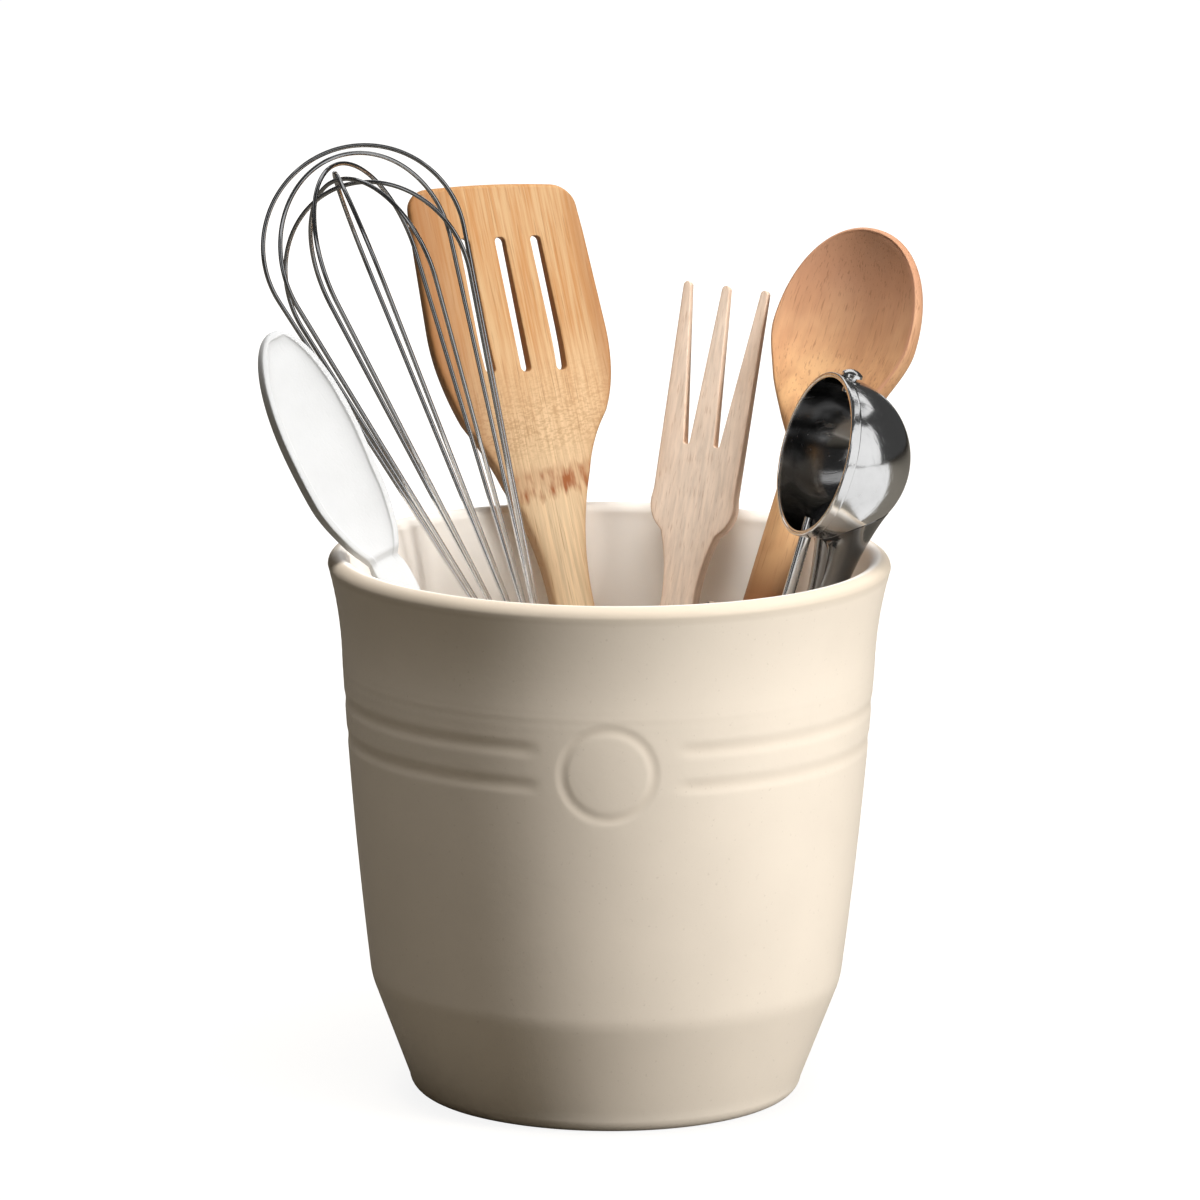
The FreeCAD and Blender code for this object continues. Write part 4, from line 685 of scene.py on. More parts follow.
def crock_surface(look):
    """Turned crock: radius by height, pressed in along two bands and a ring about the front.

    A band is depth (1 - (d / half width)^2)^2 at height d from its middle and fades near the front;
    the ring is the same rule on the distance from the medallion's middle. Sine lines lie on the wall.
    """
    rim, high, lip, wall = look.rim_radius / MM, look.height / MM, look.lip / MM / 2, look.wall / MM
    base, heel, heel_radius = (51.6, 0), (56.2, 4.6), 5
    bend, belly, bend_radius = (66.4, 31.5), (67.6, 37), 23
    neck, wall_radius, flare_radius = (rim - 4.2, 125), 1440, 115
    edge, crown, brim = (rim, high - lip), (rim - lip, high), (rim - 2 * lip, high - lip)
    throat, waist = (neck[0] - wall, neck[1]), (belly[0] - wall, belly[1])
    corner, floor, corner_radius = (53.5, 17), (47, 9), 9
    foot = np.concatenate([
        line((3, 0), base, 8), arc(base, heel, heel_radius, -1, 9),
        line(heel, bend, 12), arc(bend, belly, bend_radius, -1, 6)])
    shell = np.concatenate([arc(belly, neck, wall_radius, -1, 136), arc(neck, edge, flare_radius, 1, 20)])
    lining = np.concatenate([
        arc(edge, crown, lip, -1, 8), arc(crown, brim, lip, -1, 8), arc(brim, throat, flare_radius, -1, 12),
        arc(throat, waist, wall_radius, 1, 22), line(waist, corner, 6),
        arc(corner, floor, corner_radius, 1, 8), line(floor, (2, floor[1]), 8)])
    profile = np.concatenate([foot, shell, lining])
    outside = np.repeat((0.0, 1.0, 0.0), (len(foot), len(shell), len(lining)))[:, None]
    radius, height = profile[:, :1], profile[:, 1:]

    fine = math.radians(18)
    swing = np.concatenate([np.linspace(-fine, fine, 112, endpoint=False),
                            np.linspace(fine, 2 * math.pi - fine, 170, endpoint=False)])[None]
    off = np.degrees(np.abs((swing + math.pi) % (2 * math.pi) - math.pi))

    bands, band_half, fade_start, fade_end = (114.3, 103.8), 2.9, 13.6, 19.0
    across = sum(np.clip(1 - ((height - middle) / band_half) ** 2, 0, None) ** 2 for middle in bands)
    grooves = look.groove_depth / MM * across * smooth(fade_start, fade_end, off)
    medallion, front, ring_radius, ring_half, face_radius, dome_rise = 107.7, 30, 12.8, 2.2, 11.0, 0.12
    away = np.where(off < front, np.hypot(radius * np.sin(swing), height - medallion), np.inf)
    ring = look.ring_depth / MM * np.clip(1 - ((away - ring_radius) / ring_half) ** 2, 0, None) ** 2
    dome = dome_rise * np.clip(1 - (away / face_radius) ** 2, 0, None)
    line_rate, lines_low, lines_full = 2.1, 116, 128
    lines = look.turning / MM * np.sin(line_rate * height) * smooth(lines_low, lines_full, height)

    pressed = (grooves + ring) * outside
    reach = radius - pressed + (dome + lines) * outside
    level = np.broadcast_to(height, reach.shape)
    rings = np.stack([reach * np.sin(swing), -reach * np.cos(swing), level], -1)
    full_pool, pool_share = 0.6, 0.55
    return skin(rings), pool_share * np.clip(pressed / full_pool, 0, 1).reshape(-1)


def spoon_surface(look, head_shares):
    """Spoon: an ellipse drawn along Z by tables of widths and depths, squarer by a power.

    The front is held behind a ramp and a flat face, with a soft corner and a step below the head,
    and a hollow of depth ((1 - u^2) (1 - v^2))^soft is taken out of the face, u being the share of the
    width inside the border and v the share of the length.
    """
    head, neck = look.head_length / MM, (look.length - look.head_length) / MM
    depth, rim, ramp, border = (size / MM for size in (look.handle_depth, look.rim, look.ramp, look.border))
    low = np.concatenate([[0.0, 0.004, 0.012, 0.02], np.linspace(0.03, 1, 60, endpoint=False)])
    high = np.sin(np.linspace(0, 0.994, 140) * math.pi / 2)
    height = np.concatenate([low * neck, neck + high * head])[:, None]
    widest = head_shares[np.argmax(head_shares[:, 1]), 0]
    end_power = 2.1
    closing = (1 - (np.clip(high - widest, 0, None) / (1 - widest)) ** end_power) ** (1 / end_power)

    def half_size(column, handle_size, head_size):
        """Half of a width or depth by height: the handle's table, then the head's with a round end."""
        handle = eased(HANDLE_SHARES, column, low) * handle_size
        top = eased(head_shares, column, np.minimum(high, widest)) * closing * head_size
        return np.concatenate([handle, top])[:, None] / MM / 2

    width = half_size(1, look.handle_width, look.head_width)
    thick = half_size(2, look.handle_depth, look.head_depth)
    angle = np.linspace(0, 2 * math.pi, 176, endpoint=False)[None]
    power = 2 / look.square
    x = width * np.sign(np.cos(angle)) * np.abs(np.cos(angle)) ** power
    y = thick * np.sign(np.sin(angle)) * np.abs(np.sin(angle)) ** power

    foot = neck - look.set_back / MM
    dip_low, dip_full, dip_fade, dip_end = neck - 12, neck - 2, neck - 0.5, neck + 2.5
    face = np.interp(height, [foot - ramp, foot + ramp], [-depth, -rim])
    face += look.dip / MM * smooth(dip_low, dip_full, height) * smooth(dip_end, dip_fade, height)
    corner, full_thick, corner_reach = 0.9, 4, 3
    blunt = corner * np.clip(thick / full_thick, 0, 1)
    held = (y + face + np.sqrt((y - face) ** 2 + blunt ** 2)) / 2
    held = np.where(face - y > -corner_reach, np.maximum(held, y), y)

    bottom, top, least_width = foot + ramp, neck + head - border, 0.3
    u = x / np.maximum(width - border, least_width)
    v = (2 * height - top - bottom) / (top - bottom)
    inside = np.clip(1 - u ** 2, 0, None) * np.clip(1 - v ** 2, 0, None)
    front = smooth(-0.2, 0.6, face - y) * (np.sin(angle) < 0)
    hollow = look.hollow / MM * inside ** look.soft * front
    moved = look.shift / MM * smooth(neck - 6, neck + 26, height)
    rings = np.stack([x + moved, held + hollow, np.broadcast_to(height, x.shape)], -1)
    # Painted highlight: the border round the hollow, on its right side only.
    edge = smooth(0.16, 0.02, inside) * front * (height > neck) * smooth(0.1, 0.7, u)
    return skin(rings), edge.reshape(-1)


def strip_section(left, right, thick, round_left, round_right, across, bend):
    """Front half of a rounded rectangle by row: a quarter circle, a straight run and a quarter circle."""
    left, right, thick, round_left, round_right = (
        each[:, None] for each in (left, right, thick, round_left, round_right))
    quarter = np.linspace(0, math.pi / 2, bend + 1)
    start, end = left + round_left, right - round_right
    run = start + np.linspace(0, 1, across + 2)[1:-1] * (end - start)
    x = np.concatenate([start - round_left * np.cos(quarter), run, end + round_right * np.sin(quarter)], 1)
    y = np.concatenate([thick - round_left + round_left * np.sin(quarter), np.broadcast_to(thick, run.shape),
                        thick - round_right + round_right * np.cos(quarter)], 1)
    return x, y


def strip_faces(count, half, free_left, free_right, bend):
    """Quads round a strip and over its two ends; a side that is shut against its neighbour has none."""
    keep = np.ones((count - 1, 2 * half), bool)
    shut_left = ((free_left[:-1] == 0) & (free_left[1:] == 0))[:, None]
    shut_right = ((free_right[:-1] == 0) & (free_right[1:] == 0))[:, None]
    keep[:, :bend] &= ~shut_left
    keep[:, 2 * half - 1 - bend:] &= ~shut_left
    keep[:, half - 1 - bend:half + bend] &= ~shut_right
    sides = ring_faces(count, 2 * half).reshape(count - 1, 2 * half, 4)[keep]
    index = np.arange(half)
    mirror = 2 * half - 1 - index
    end = np.stack([index[:-1], index[1:], mirror[1:], mirror[:-1]], -1)
    return np.concatenate([sides, end + (count - 1) * 2 * half, end[:, ::-1]])


def plate_surface(rows, edges, thick, middle, opened, lift, round_edge, round_gap, across, bend=4):
    """Flat bar cut into strips along Z: each strip is a closed run of rounded rectangles.

    edges gives each strip's left and right side by row, opened says by row and side where a strip has
    an edge of its own, and there its corners turn through quarter circles; elsewhere strips meet flush.
    The edge mark fades as exp(-d / reach) with the distance d from an edge.
    """
    edge_reach, rim_reach, tint_reach, top_reach = 0.25, 1.1, 5, 0.8
    rim_share, tint_share, top_share = 0.6, 0.4, 0.8
    points, faces, wear_and_shade, start = [], [], [], 0
    for number, ((left, right), (free_left, free_right)) in enumerate(zip(edges, opened)):
        limit = np.minimum(thick, np.maximum((right - left) / 2, 0)) * 0.98
        round_left = np.minimum(round_edge if number == 0 else round_gap, limit) * free_left
        round_right = np.minimum(round_edge if number == len(edges) - 1 else round_gap, limit) * free_right
        x, y = strip_section(left, right, thick, round_left, round_right, across, bend)
        z = lift(x, np.broadcast_to(rows[:, None], x.shape))
        front = np.stack([x, middle[:, None] - y, z], -1)
        back = np.stack([x, middle[:, None] + y, z], -1)[:, ::-1]
        points.append(np.concatenate([front, back], 1).reshape(-1, 3))
        near = np.minimum(np.where(free_left[:, None] > 0, x - left[:, None], np.inf),
                          np.where(free_right[:, None] > 0, right[:, None] - x, np.inf)).clip(0)
        rim = np.minimum(x - edges[0][0][:, None], edges[-1][1][:, None] - x).clip(0)
        mark = rim_share * np.exp(-rim / rim_reach) + tint_share * np.exp(-rim / tint_reach)
        mark = np.maximum(mark, np.exp(-near / edge_reach))
        mark = np.maximum(mark, top_share * np.exp((rows - rows[-1]) / top_reach)[:, None])
        wear_and_shade.append(np.concatenate([mark, mark[:, ::-1]], 1).reshape(-1))
        faces += (strip_faces(len(rows), x.shape[1], free_left, free_right, bend) + start).tolist()
        start += 2 * x.size
    return (np.concatenate(points), faces), np.concatenate(wear_and_shade)


def side_width(stations, height):
    """Half width along a bar: straight and circular runs of an outline, read off by height."""
    outline = np.concatenate(stations)
    return np.interp(height, outline[:, 1], outline[:, 0])


def round_rows(grip):
    """Heights along a bar's round lower end, closer together towards its foot."""
    return grip - grip * np.cos(np.linspace(0.03, math.pi / 2, 12))


def turner_surface(look):
    """Slotted blade: the outline's half width by height, four strips between three slots.

    The top rows are drawn to the crowned top edge and its round corners.
    """
    whole, thick, tip = look.length / MM, look.thickness / MM, look.tip_thickness / MM
    grip, blade, top = look.handle_width / MM / 2, look.blade_width / MM / 2, look.top_width / MM / 2
    slot, spacing = look.slot_width / MM / 2, look.slot_spacing / MM
    handle_top, neck, shoulder, widest = 116, (13, 160), (21.5, 178), 205
    neck_radius, shoulder_radius, corner, crown_radius = 98, 62, 6.5, 260
    slot_low, slot_high, crown_low, edge = 192, 232, 233, 1.2
    stations = [
        arc((0.2, 0), (grip, grip), grip, -1, 24),
        line((grip, grip), (grip, handle_top), 3),
        arc((grip, handle_top), neck, neck_radius, 1, 30),
        arc(neck, shoulder, shoulder_radius, 1, 16),
        arc(shoulder, (blade, widest), shoulder_radius, -1, 24),
        line((blade, widest), (top, whole), 6),
        np.array([(top, whole)]),
    ]
    quarter = np.linspace(0, math.pi / 2, 7)
    ends = slot - slot * np.cos(quarter)
    rows = np.unique(np.concatenate([
        round_rows(grip), np.linspace(grip, handle_top, 24), np.linspace(handle_top, slot_low, 46),
        slot_low + ends, np.linspace(slot_low + 2 * slot, slot_high - 2 * slot, 20), slot_high - ends,
        np.linspace(crown_low, whole - edge, 10), whole - edge + edge * np.sin(quarter)]))
    half = side_width(stations, rows)
    border = np.minimum(spacing, spacing / blade * half)
    past = np.maximum(np.clip(slot_low + slot - rows, 0, slot), np.clip(rows - slot_high + slot, 0, slot))
    gap = np.sqrt(np.clip(slot ** 2 - past ** 2, 0, None)) * ((rows > slot_low) & (rows < slot_high))
    free = (gap > 1e-6).astype(float)
    ones = np.ones_like(rows)
    edges = [(-half, -border - gap), (-border + gap, -gap), (gap, border - gap), (border + gap, half)]
    opened = [(ones, free), (free, free), (free, free), (free, ones)]
    taper = np.interp(rows, [neck[1], whole], [thick, tip]) / 2
    last = np.clip((rows - whole + edge) / edge, 0, 1)
    body = taper - 0.9 * edge * (1 - np.sqrt(1 - last ** 2))

    def crowned(x, z):
        """Rows run up to the top edge, a wide arc less the corners' arcs, and lean to the blade's slant."""
        side = np.clip(np.abs(x) - (top - corner), 0, corner)
        drop = x ** 2 / (2 * crown_radius) + corner - np.sqrt(corner ** 2 - 0.995 * side ** 2)
        share = np.clip((z - crown_low) / (whole - crown_low), 0, 1)
        return z - drop * share - look.slant / MM * x / (2 * top) * smooth(neck[1], slot_low, z)

    return plate_surface(rows, edges, body, taper - thick / 2, opened, crowned,
                         round_edge=1.3, round_gap=0.3, across=16)


def fork_surface(look):
    """Three tines: the outline's half width by height, strips that part at the gaps' round bottoms."""
    whole, thick, tip = look.length / MM, look.thickness / MM, look.tip_thickness / MM
    grip, wide, reach = look.handle_width / MM / 2, look.shoulder_width / MM / 2, look.spread / MM / 2
    handle_top, neck, shoulder, neck_radius, shoulder_radius = 122, (8.5, 146), 157, 58, 10
    gap_low, gap_radius, gap_middle, gap_share = 171.4, 0.9, 4.65, 0.37
    tip_radius, least = 1.2, 0.25
    gap_start, crown, tine = gap_low + gap_radius, whole - tip_radius, reach - tip_radius
    stations = [
        arc((0.2, 0), (grip, grip), grip, -1, 24),
        line((grip, grip), (grip, handle_top), 3),
        arc((grip, handle_top), neck, neck_radius, 1, 20),
        arc(neck, (wide, shoulder), shoulder_radius, -1, 14),
        line((wide, shoulder), (reach, crown), 4),
        np.array([(reach, crown), (reach, whole)]),
    ]
    rows = np.unique(np.concatenate([
        round_rows(grip), np.linspace(grip, handle_top, 24), np.linspace(handle_top, gap_low, 34),
        gap_low + gap_radius * (1 - np.cos(np.linspace(0, math.pi / 2, 7))),
        np.linspace(gap_start + 0.3, crown, 30),
        crown + tip_radius * np.sin(np.linspace(0, math.pi / 2, 8)[1:])]))
    half = side_width(stations, rows)
    meet = np.minimum(gap_middle, gap_share * half)
    below = np.clip(gap_start - rows, 0, gap_radius)
    bottom = np.sqrt(np.clip(gap_radius ** 2 - below ** 2, 0, None)) * (rows > gap_low)
    up = np.clip((rows - gap_start) / (crown - gap_start), 0, 1)
    gap_in, gap_out = gap_middle - gap_radius, gap_middle + gap_radius
    inner = np.where(rows < gap_start, meet - bottom, gap_in + up * (tip_radius - gap_in))
    outer = np.where(rows < gap_start, meet + bottom, gap_out + up * (reach - 2 * tip_radius - gap_out))
    past = np.clip(rows - crown, 0, tip_radius)
    blunt = np.maximum(np.sqrt(np.clip(tip_radius ** 2 - past ** 2, 0, None)), least)
    at_tip = rows > crown
    inner = np.where(at_tip, blunt, inner)
    outer = np.where(at_tip, tine - blunt, outer)
    half = np.where(at_tip, tine + blunt, half)
    free = (rows > gap_low + 0.01).astype(float)
    ones = np.ones_like(rows)
    edges = [(-half, -outer), (-inner, inner), (outer, half)]
    opened = [(ones, free), (free, free), (free, ones)]
    taper = np.interp(rows, [neck[1], whole], [thick, tip]) / 2
    return plate_surface(rows, edges, taper, taper - thick / 2, opened, lambda x, z: z,
                         round_edge=0.5, round_gap=0.4, across=8)


def spun(turn, points):
    """Points turned about Z by an angle in degrees."""
    way = math.radians(turn)
    matrix = np.array([(math.cos(way), -math.sin(way), 0), (math.sin(way), math.cos(way), 0), (0, 0, 1)])
    return points @ matrix.T


def loop_path(look, number):
    """One whisk loop in its plane: leg, bend, straight side, round crown, and the same mirrored."""
    circle, bend, ball = 4.4, 24.0, look.balloon / MM
    leg_low, knee, highest, step = 102.0, 114.0, 247.4, 2.1
    middle = highest - step * number
    rise, across = middle - knee, circle + bend
    lean = math.atan2(rise, across) - math.acos((ball + bend) / math.hypot(rise, across))
    hip = np.array([across - bend * math.cos(lean), knee + bend * math.sin(lean)])
    waist = np.array([ball * math.cos(lean), middle - ball * math.sin(lean)])
    first = np.linspace(math.pi, math.pi - lean, 14, endpoint=False)
    bent = np.stack([across + bend * np.cos(first), knee + bend * np.sin(first)], -1)
    over = np.linspace(-lean, math.pi / 2, 46)
    crown = np.stack([ball * np.cos(over), middle + ball * np.sin(over)], -1)
    half = np.concatenate([line((circle, leg_low), (circle, knee), 4), bent, line(hip, waist, 50), crown])
    flat = np.concatenate([half, half[:-1][::-1] * np.array([-1, 1])])
    return np.stack([flat[:, 0], np.zeros(len(flat)), flat[:, 1]], -1)


def loop_surface(look, number):
    """Loop wire: a tube along its path, turned about the whisk's axis; painted darker towards the crown as a
    painted reflection.
    """
    turn, dark_low, dark_full = 30 * number, 150, 225
    side = spun(turn, np.array([0.0, 1.0, 0.0]))
    rings = tube(spun(turn, loop_path(look, number)), side, look.wire / MM)
    return skin(rings), smooth(dark_low, dark_full, rings[..., 2]).reshape(-1)


def whisk_grip_surface(look):
    """Steel tube: a closed profile with round ends and a slight belly, turned about Z."""
    grip, bore, low, high, round_low, round_high, belly = look.grip / MM, 6, 14.5, 112, 0.3, 0.6, 1800
    return turned_pipe(np.concatenate([
        line((bore, low), (grip - round_low, low), 2),
        arc((grip - round_low, low), (grip, low + round_low), round_low, -1, 4),
        arc((grip, low + round_low), (grip, high - round_high), belly, -1, 24),
        arc((grip, high - round_high), (grip - round_high, high), round_high, -1, 5),
        line((grip - round_high, high), (bore, high), 2),
        line((bore, high), (bore, low), 3)]))


def whisk_cap_surface(look):
    """End cap: a dome and a neck that goes up into the tube, turned about Z."""
    grip, low, rise, neck, seat, high = look.grip / MM, 9.5, 4.9, 5.9, 14.45, 22
    return skin(turned(np.concatenate([
        dome_profile(low, grip - 0.02, rise), line((grip, seat - 0.03), (neck, seat), 3),
        line((neck, seat), (neck, high), 3), line((neck, high + 0.4), (0.4, high + 0.5), 3)])))


def hanger_surface():
    """Hanging loop: a tube down one leg, round a half circle and up the other leg."""
    reach, high, middle, wire = 3.6, 15.5, 4.7, 1.1
    eye = np.linspace(0, -math.pi, 24)
    bottom = np.stack([reach * np.cos(eye), np.zeros(24), middle + reach * np.sin(eye)], -1)
    return skin(tube(np.concatenate([
        line((reach, 0, high), (reach, 0, middle), 6), bottom,
        line((-reach, 0, middle), (-reach, 0, high), 6)[1:]]), (0, 1, 0), wire))


def bowl_surface(look):
    """Spun bowl about the Y axis: inside ball, collar with a rolled edge and a stepped band, outside ball."""
    out, inside, around = look.bowl / MM, (look.bowl - look.wall) / MM, 128
    edge, inner_edge, band_low, band_high, step, collar = -4.6, -4.3, -4.1, -1.9, -1.6, -0.2
    band, roll, shelf = out + 0.5, 0.5, 0.3
    quarter = np.linspace(0.03, math.pi / 2, 40)
    way = np.stack([np.sin(quarter), np.cos(quarter)], -1)
    skirt = line((inside, collar), (inside, inner_edge), 6)
    rest = np.concatenate([
        arc((inside, inner_edge), (inside + 0.6, edge), roll, 1, 5),
        line((inside + 0.6, edge), (band - roll, edge), 2),
        arc((band - roll, edge), (band, band_low), roll, -1, 5),
        line((band, band_low), (band, band_high), 4),
        arc((band, band_high), (band - shelf, step), shelf, -1, 4),
        line((band - shelf, step), (out, step + 0.1), 2),
        line((out, step + 0.1), (out, collar), 3), out * way[::-1]])
    profile = np.concatenate([inside * way, skirt, rest])
    x, y, z = np.moveaxis(turned(profile, around), -1, 0)
    # Painted reflection: the inside of the ball and its skirt are marked for darker metal.
    dark_inside = np.arange(len(profile)) < len(way) + len(skirt)
    return skin(np.stack([x, z, -y], -1) + BOWL_MIDDLE), np.repeat(dark_inside, around).astype(float)


def stem_surface(look):
    """Stem: a round bar that swells up to a saddle on the bowl.

    Each line up the side is a cubic from the bar to a point on the ball, and the saddle's edge
    goes round the ball further at the sides and at the back than at the front.
    """
    bar_radius, bar_top, saddle_tilt, proud, sunk = 4.7, 125.2, 0.50, 0.12, 0.35
    rise, reach, pull, pull_share = 20.0, 5.0, 24.0, 0.15
    out, around = look.bowl / MM, 72
    angle = np.linspace(0, 2 * math.pi, around, endpoint=False)[:, None]
    side, up = np.array([1.0, 0, 0]), np.array([0, 0, 1.0])
    down = np.array([0, math.sin(saddle_tilt), -math.cos(saddle_tilt)])
    outward = np.cos(angle) * side + np.sin(angle) * np.cross(side, down)
    opening = 0.48 + 0.22 * np.cos(angle) ** 2 + 0.13 * np.sin(angle)
    ring = down * np.cos(opening) + outward * np.sin(opening)
    foot = bar_radius * np.concatenate([np.cos(angle), np.sin(angle), 0 * angle], 1) + bar_top * up
    edge, seat = (BOWL_MIDDLE + ring * (out + gap) for gap in (proud, -sunk))
    inward = down * np.sin(opening) - outward * np.cos(opening)
    lower = foot + rise * up
    upper = edge + inward * reach + (foot + pull * up - edge) * pull_share
    t = np.linspace(0, 1, 40)[:, None, None]
    rows = (1 - t) ** 3 * foot + 3 * (1 - t) ** 2 * t * lower + 3 * (1 - t) * t ** 2 * upper + t ** 3 * edge
    return skin(np.concatenate([rows, ((edge + seat) / 2)[None], seat[None]]))


def scoop_grip_surface(look):
    """Grip: a round bar with rounded ends, turned about Z."""
    grip, low, high, round_low, round_high = look.grip / MM, 5.05, 112.9, 0.3, 0.5
    return skin(turned(np.concatenate([
        line((grip - 0.8, low + 0.15), (grip - round_low, low), 2),
        arc((grip - round_low, low), (grip, low + 0.35), 0.4, -1, 4),
        line((grip, low + 0.35), (grip, high - round_high), 12),
        arc((grip, high - round_high), (grip - round_high, high), round_high, -1, 5),
        line((grip - round_high, high), (grip - 2 * round_high, high + 0.05), 2)])))


def scoop_cap_surface(look):
    """End cap: a dome closed by a flat top, turned about Z."""
    grip, rise, top = look.grip / MM, 4.9, 4.96
    return skin(turned(np.concatenate([
        dome_profile(0.0, grip - 0.02, rise), line((grip - 0.1, top), (0.4, top + 0.02), 3)])))


def rod_surface():
    """Spindle: a thin round rod from the gear well into the bowl, with a chamfered foot."""
    radius, low, high, chamfer, tip = 1.7, 114.1, 161.0, 0.4, 0.3
    rod = np.concatenate([
        line((tip, low), (radius - chamfer, low), 2), line((radius, low + chamfer), (radius, high), 10),
        line((radius, high), (tip, high + 0.1), 2)])
    return skin(turned(rod, 32) + BOWL_MIDDLE * (0, 1, 0))


def nub_surface():
    """Top pivot: a pin through the bowl with a domed button on it."""
    pin, button, rise, low, top = 1.65, 2.98, 1.3, 198.3, 204.96
    ledge, rim_low, rim_high = 202.6, 202.75, 203.6
    nub = np.concatenate([
        line((0.3, low), (pin, low), 2), line((pin, low), (pin, ledge), 4),
        line((pin, ledge), (button - 0.18, ledge + 0.02), 2), line((button, rim_low), (button, rim_high), 3),
        dome_profile(0, button, rise)[::-1] * (1, -1) + (0, top)])
    return skin(turned(nub, 40) + BOWL_MIDDLE * (0, 1, 0))


def sweeper_surface(look):
    """Sweeper: a strip 18 degrees wide bent close inside the ball from pole to pole."""
    gap, thick, half_width, pole, across = 0.4, 0.8, 9, 0.15, 9
    outside = (look.bowl - look.wall) / MM - gap
    polar = np.linspace(math.pi - pole, pole, 60)[:, None]
    swing = np.radians(np.linspace(-half_width, half_width, across))
    swing = np.concatenate([swing, swing[::-1]])
    reach = np.repeat((outside, outside - thick), across)
    way = np.stack(np.broadcast_arrays(
        np.sin(polar) * np.cos(swing), np.sin(polar) * np.sin(swing), np.cos(polar)), -1)
    return skin(way * reach[:, None] + BOWL_MIDDLE)


def spring_surface():
    """Four turns of wire along -X from the frame's face with short straight ends: (x, r cos a, r sin a)."""
    turns, radius, wire, free_length, gap, hook = 4, 4.9, 0.4, 16.5, 0.7, 2.5
    angle = np.linspace(0, 2 * math.pi * turns, 320)
    reach = -gap - (free_length - 2 * gap) * angle / angle[-1]
    coil = SPRING_FACE + np.stack([reach, radius * np.cos(angle), radius * np.sin(angle)], -1)
    end = np.array([0, 0, hook])
    path = np.concatenate([line(coil[0] - end, coil[0], 4), coil, line(coil[-1] + end, coil[-1], 4)[::-1]])
    return skin(tube(path, (1, 0, 0), wire, 8))


class CROCK_OT_pot(bpy.types.Operator):
    """Turn and glaze the crock"""
    bl_idname = "crock.pot"
    bl_label = "Crock"

    def execute(self, context):
        look = context.scene.crock_pot
        surface, pooled = crock_surface(look)
        piece("glazed_crock", surface, glaze_finish(look), "crock", ["crock"],
              wear_and_shade=pooled, sharp=60)
        return {"FINISHED"}


class CROCK_OT_white_spoon(bpy.types.Operator):
    """Mould the white spoon"""
    bl_idname = "crock.white_spoon"
    bl_label = "White spoon"

    def execute(self, context):
        look = context.scene.crock_white_spoon
        surface, _edge = spoon_surface(look, WHITE_HEAD_SHARES)
        piece("moulded_spoon", surface, plastic_finish(look), "white_spoon", ["white_spoon"],
              tilt("white_spoon"), sharp=70)
        return {"FINISHED"}


class CROCK_OT_wooden_spoon(bpy.types.Operator):
    """Carve the wooden spoon"""
    bl_idname = "crock.wooden_spoon"
    bl_label = "Wooden spoon"

    def execute(self, context):
        look, place = context.scene.crock_wooden_spoon, tilt("wooden_spoon")
        surface, edge = spoon_surface(look, WOODEN_HEAD_SHARES)
        piece("carved_spoon", surface, spoon_wood_finish(look, place), "wooden_spoon", ["wooden_spoon"],
              place, wear_and_shade=edge, sharp=70)
        return {"FINISHED"}


class CROCK_OT_turner(bpy.types.Operator):
    """Cut the bamboo turner"""
    bl_idname = "crock.turner"
    bl_label = "Turner"

    def execute(self, context):
        look, place = context.scene.crock_turner, tilt("turner")
        surface, edge = turner_surface(look)
        piece("slotted_turner", surface, bamboo_finish(look, place), "turner", ["turner"],
              place, wear_and_shade=edge, weld=True)
        return {"FINISHED"}


class CROCK_OT_fork(bpy.types.Operator):
    """Cut the three-tined fork"""
    bl_idname = "crock.fork"
    bl_label = "Fork"

    def execute(self, context):
        look, place = context.scene.crock_fork, tilt("fork")
        surface, edge = fork_surface(look)
        piece("tined_fork", surface, beech_finish(look, place), "fork", ["fork"],
              place, wear_and_shade=edge, weld=True)
        return {"FINISHED"}


class CROCK_OT_whisk(bpy.types.Operator):
    """Bend the whisk's loops and turn its handle"""
    bl_idname = "crock.whisk"
    bl_label = "Whisk"

    def execute(self, context):
        look, place = context.scene.crock_whisk, tilt("whisk")
        # Painted reflection: the loop wire darkens towards the crown, standing in for dark surroundings.
        wire = metal_finish("whisk_wire", look.loops, 0.08, 0.15, 90.0, 0.0, look.crown)
        steel = metal_finish("whisk_steel", look.steel, 0.18, 0.34, 70.0, 0.15)
        for number in range(6):
            surface, darkened = loop_surface(look, number)
            piece(f"loop_wire_{number + 1}", surface, wire, "whisk", [f"whisk_wire_{number + 1}"],
                  place, wear_and_shade=darkened)
        for name, surface, node in (
                ("whisk_grip", whisk_grip_surface(look), "whisk_handle"),
                ("whisk_cap", whisk_cap_surface(look), "whisk_end_cap"),
                ("hanging_wire", hanger_surface(), "whisk_hanging_loop")):
            piece(name, surface, steel, "whisk", [node], place)
        dress("whisk_plug", metal_finish("whisk_plug", look.plug, 0.4, 0.55, 50.0, 0.1))
        return {"FINISHED"}


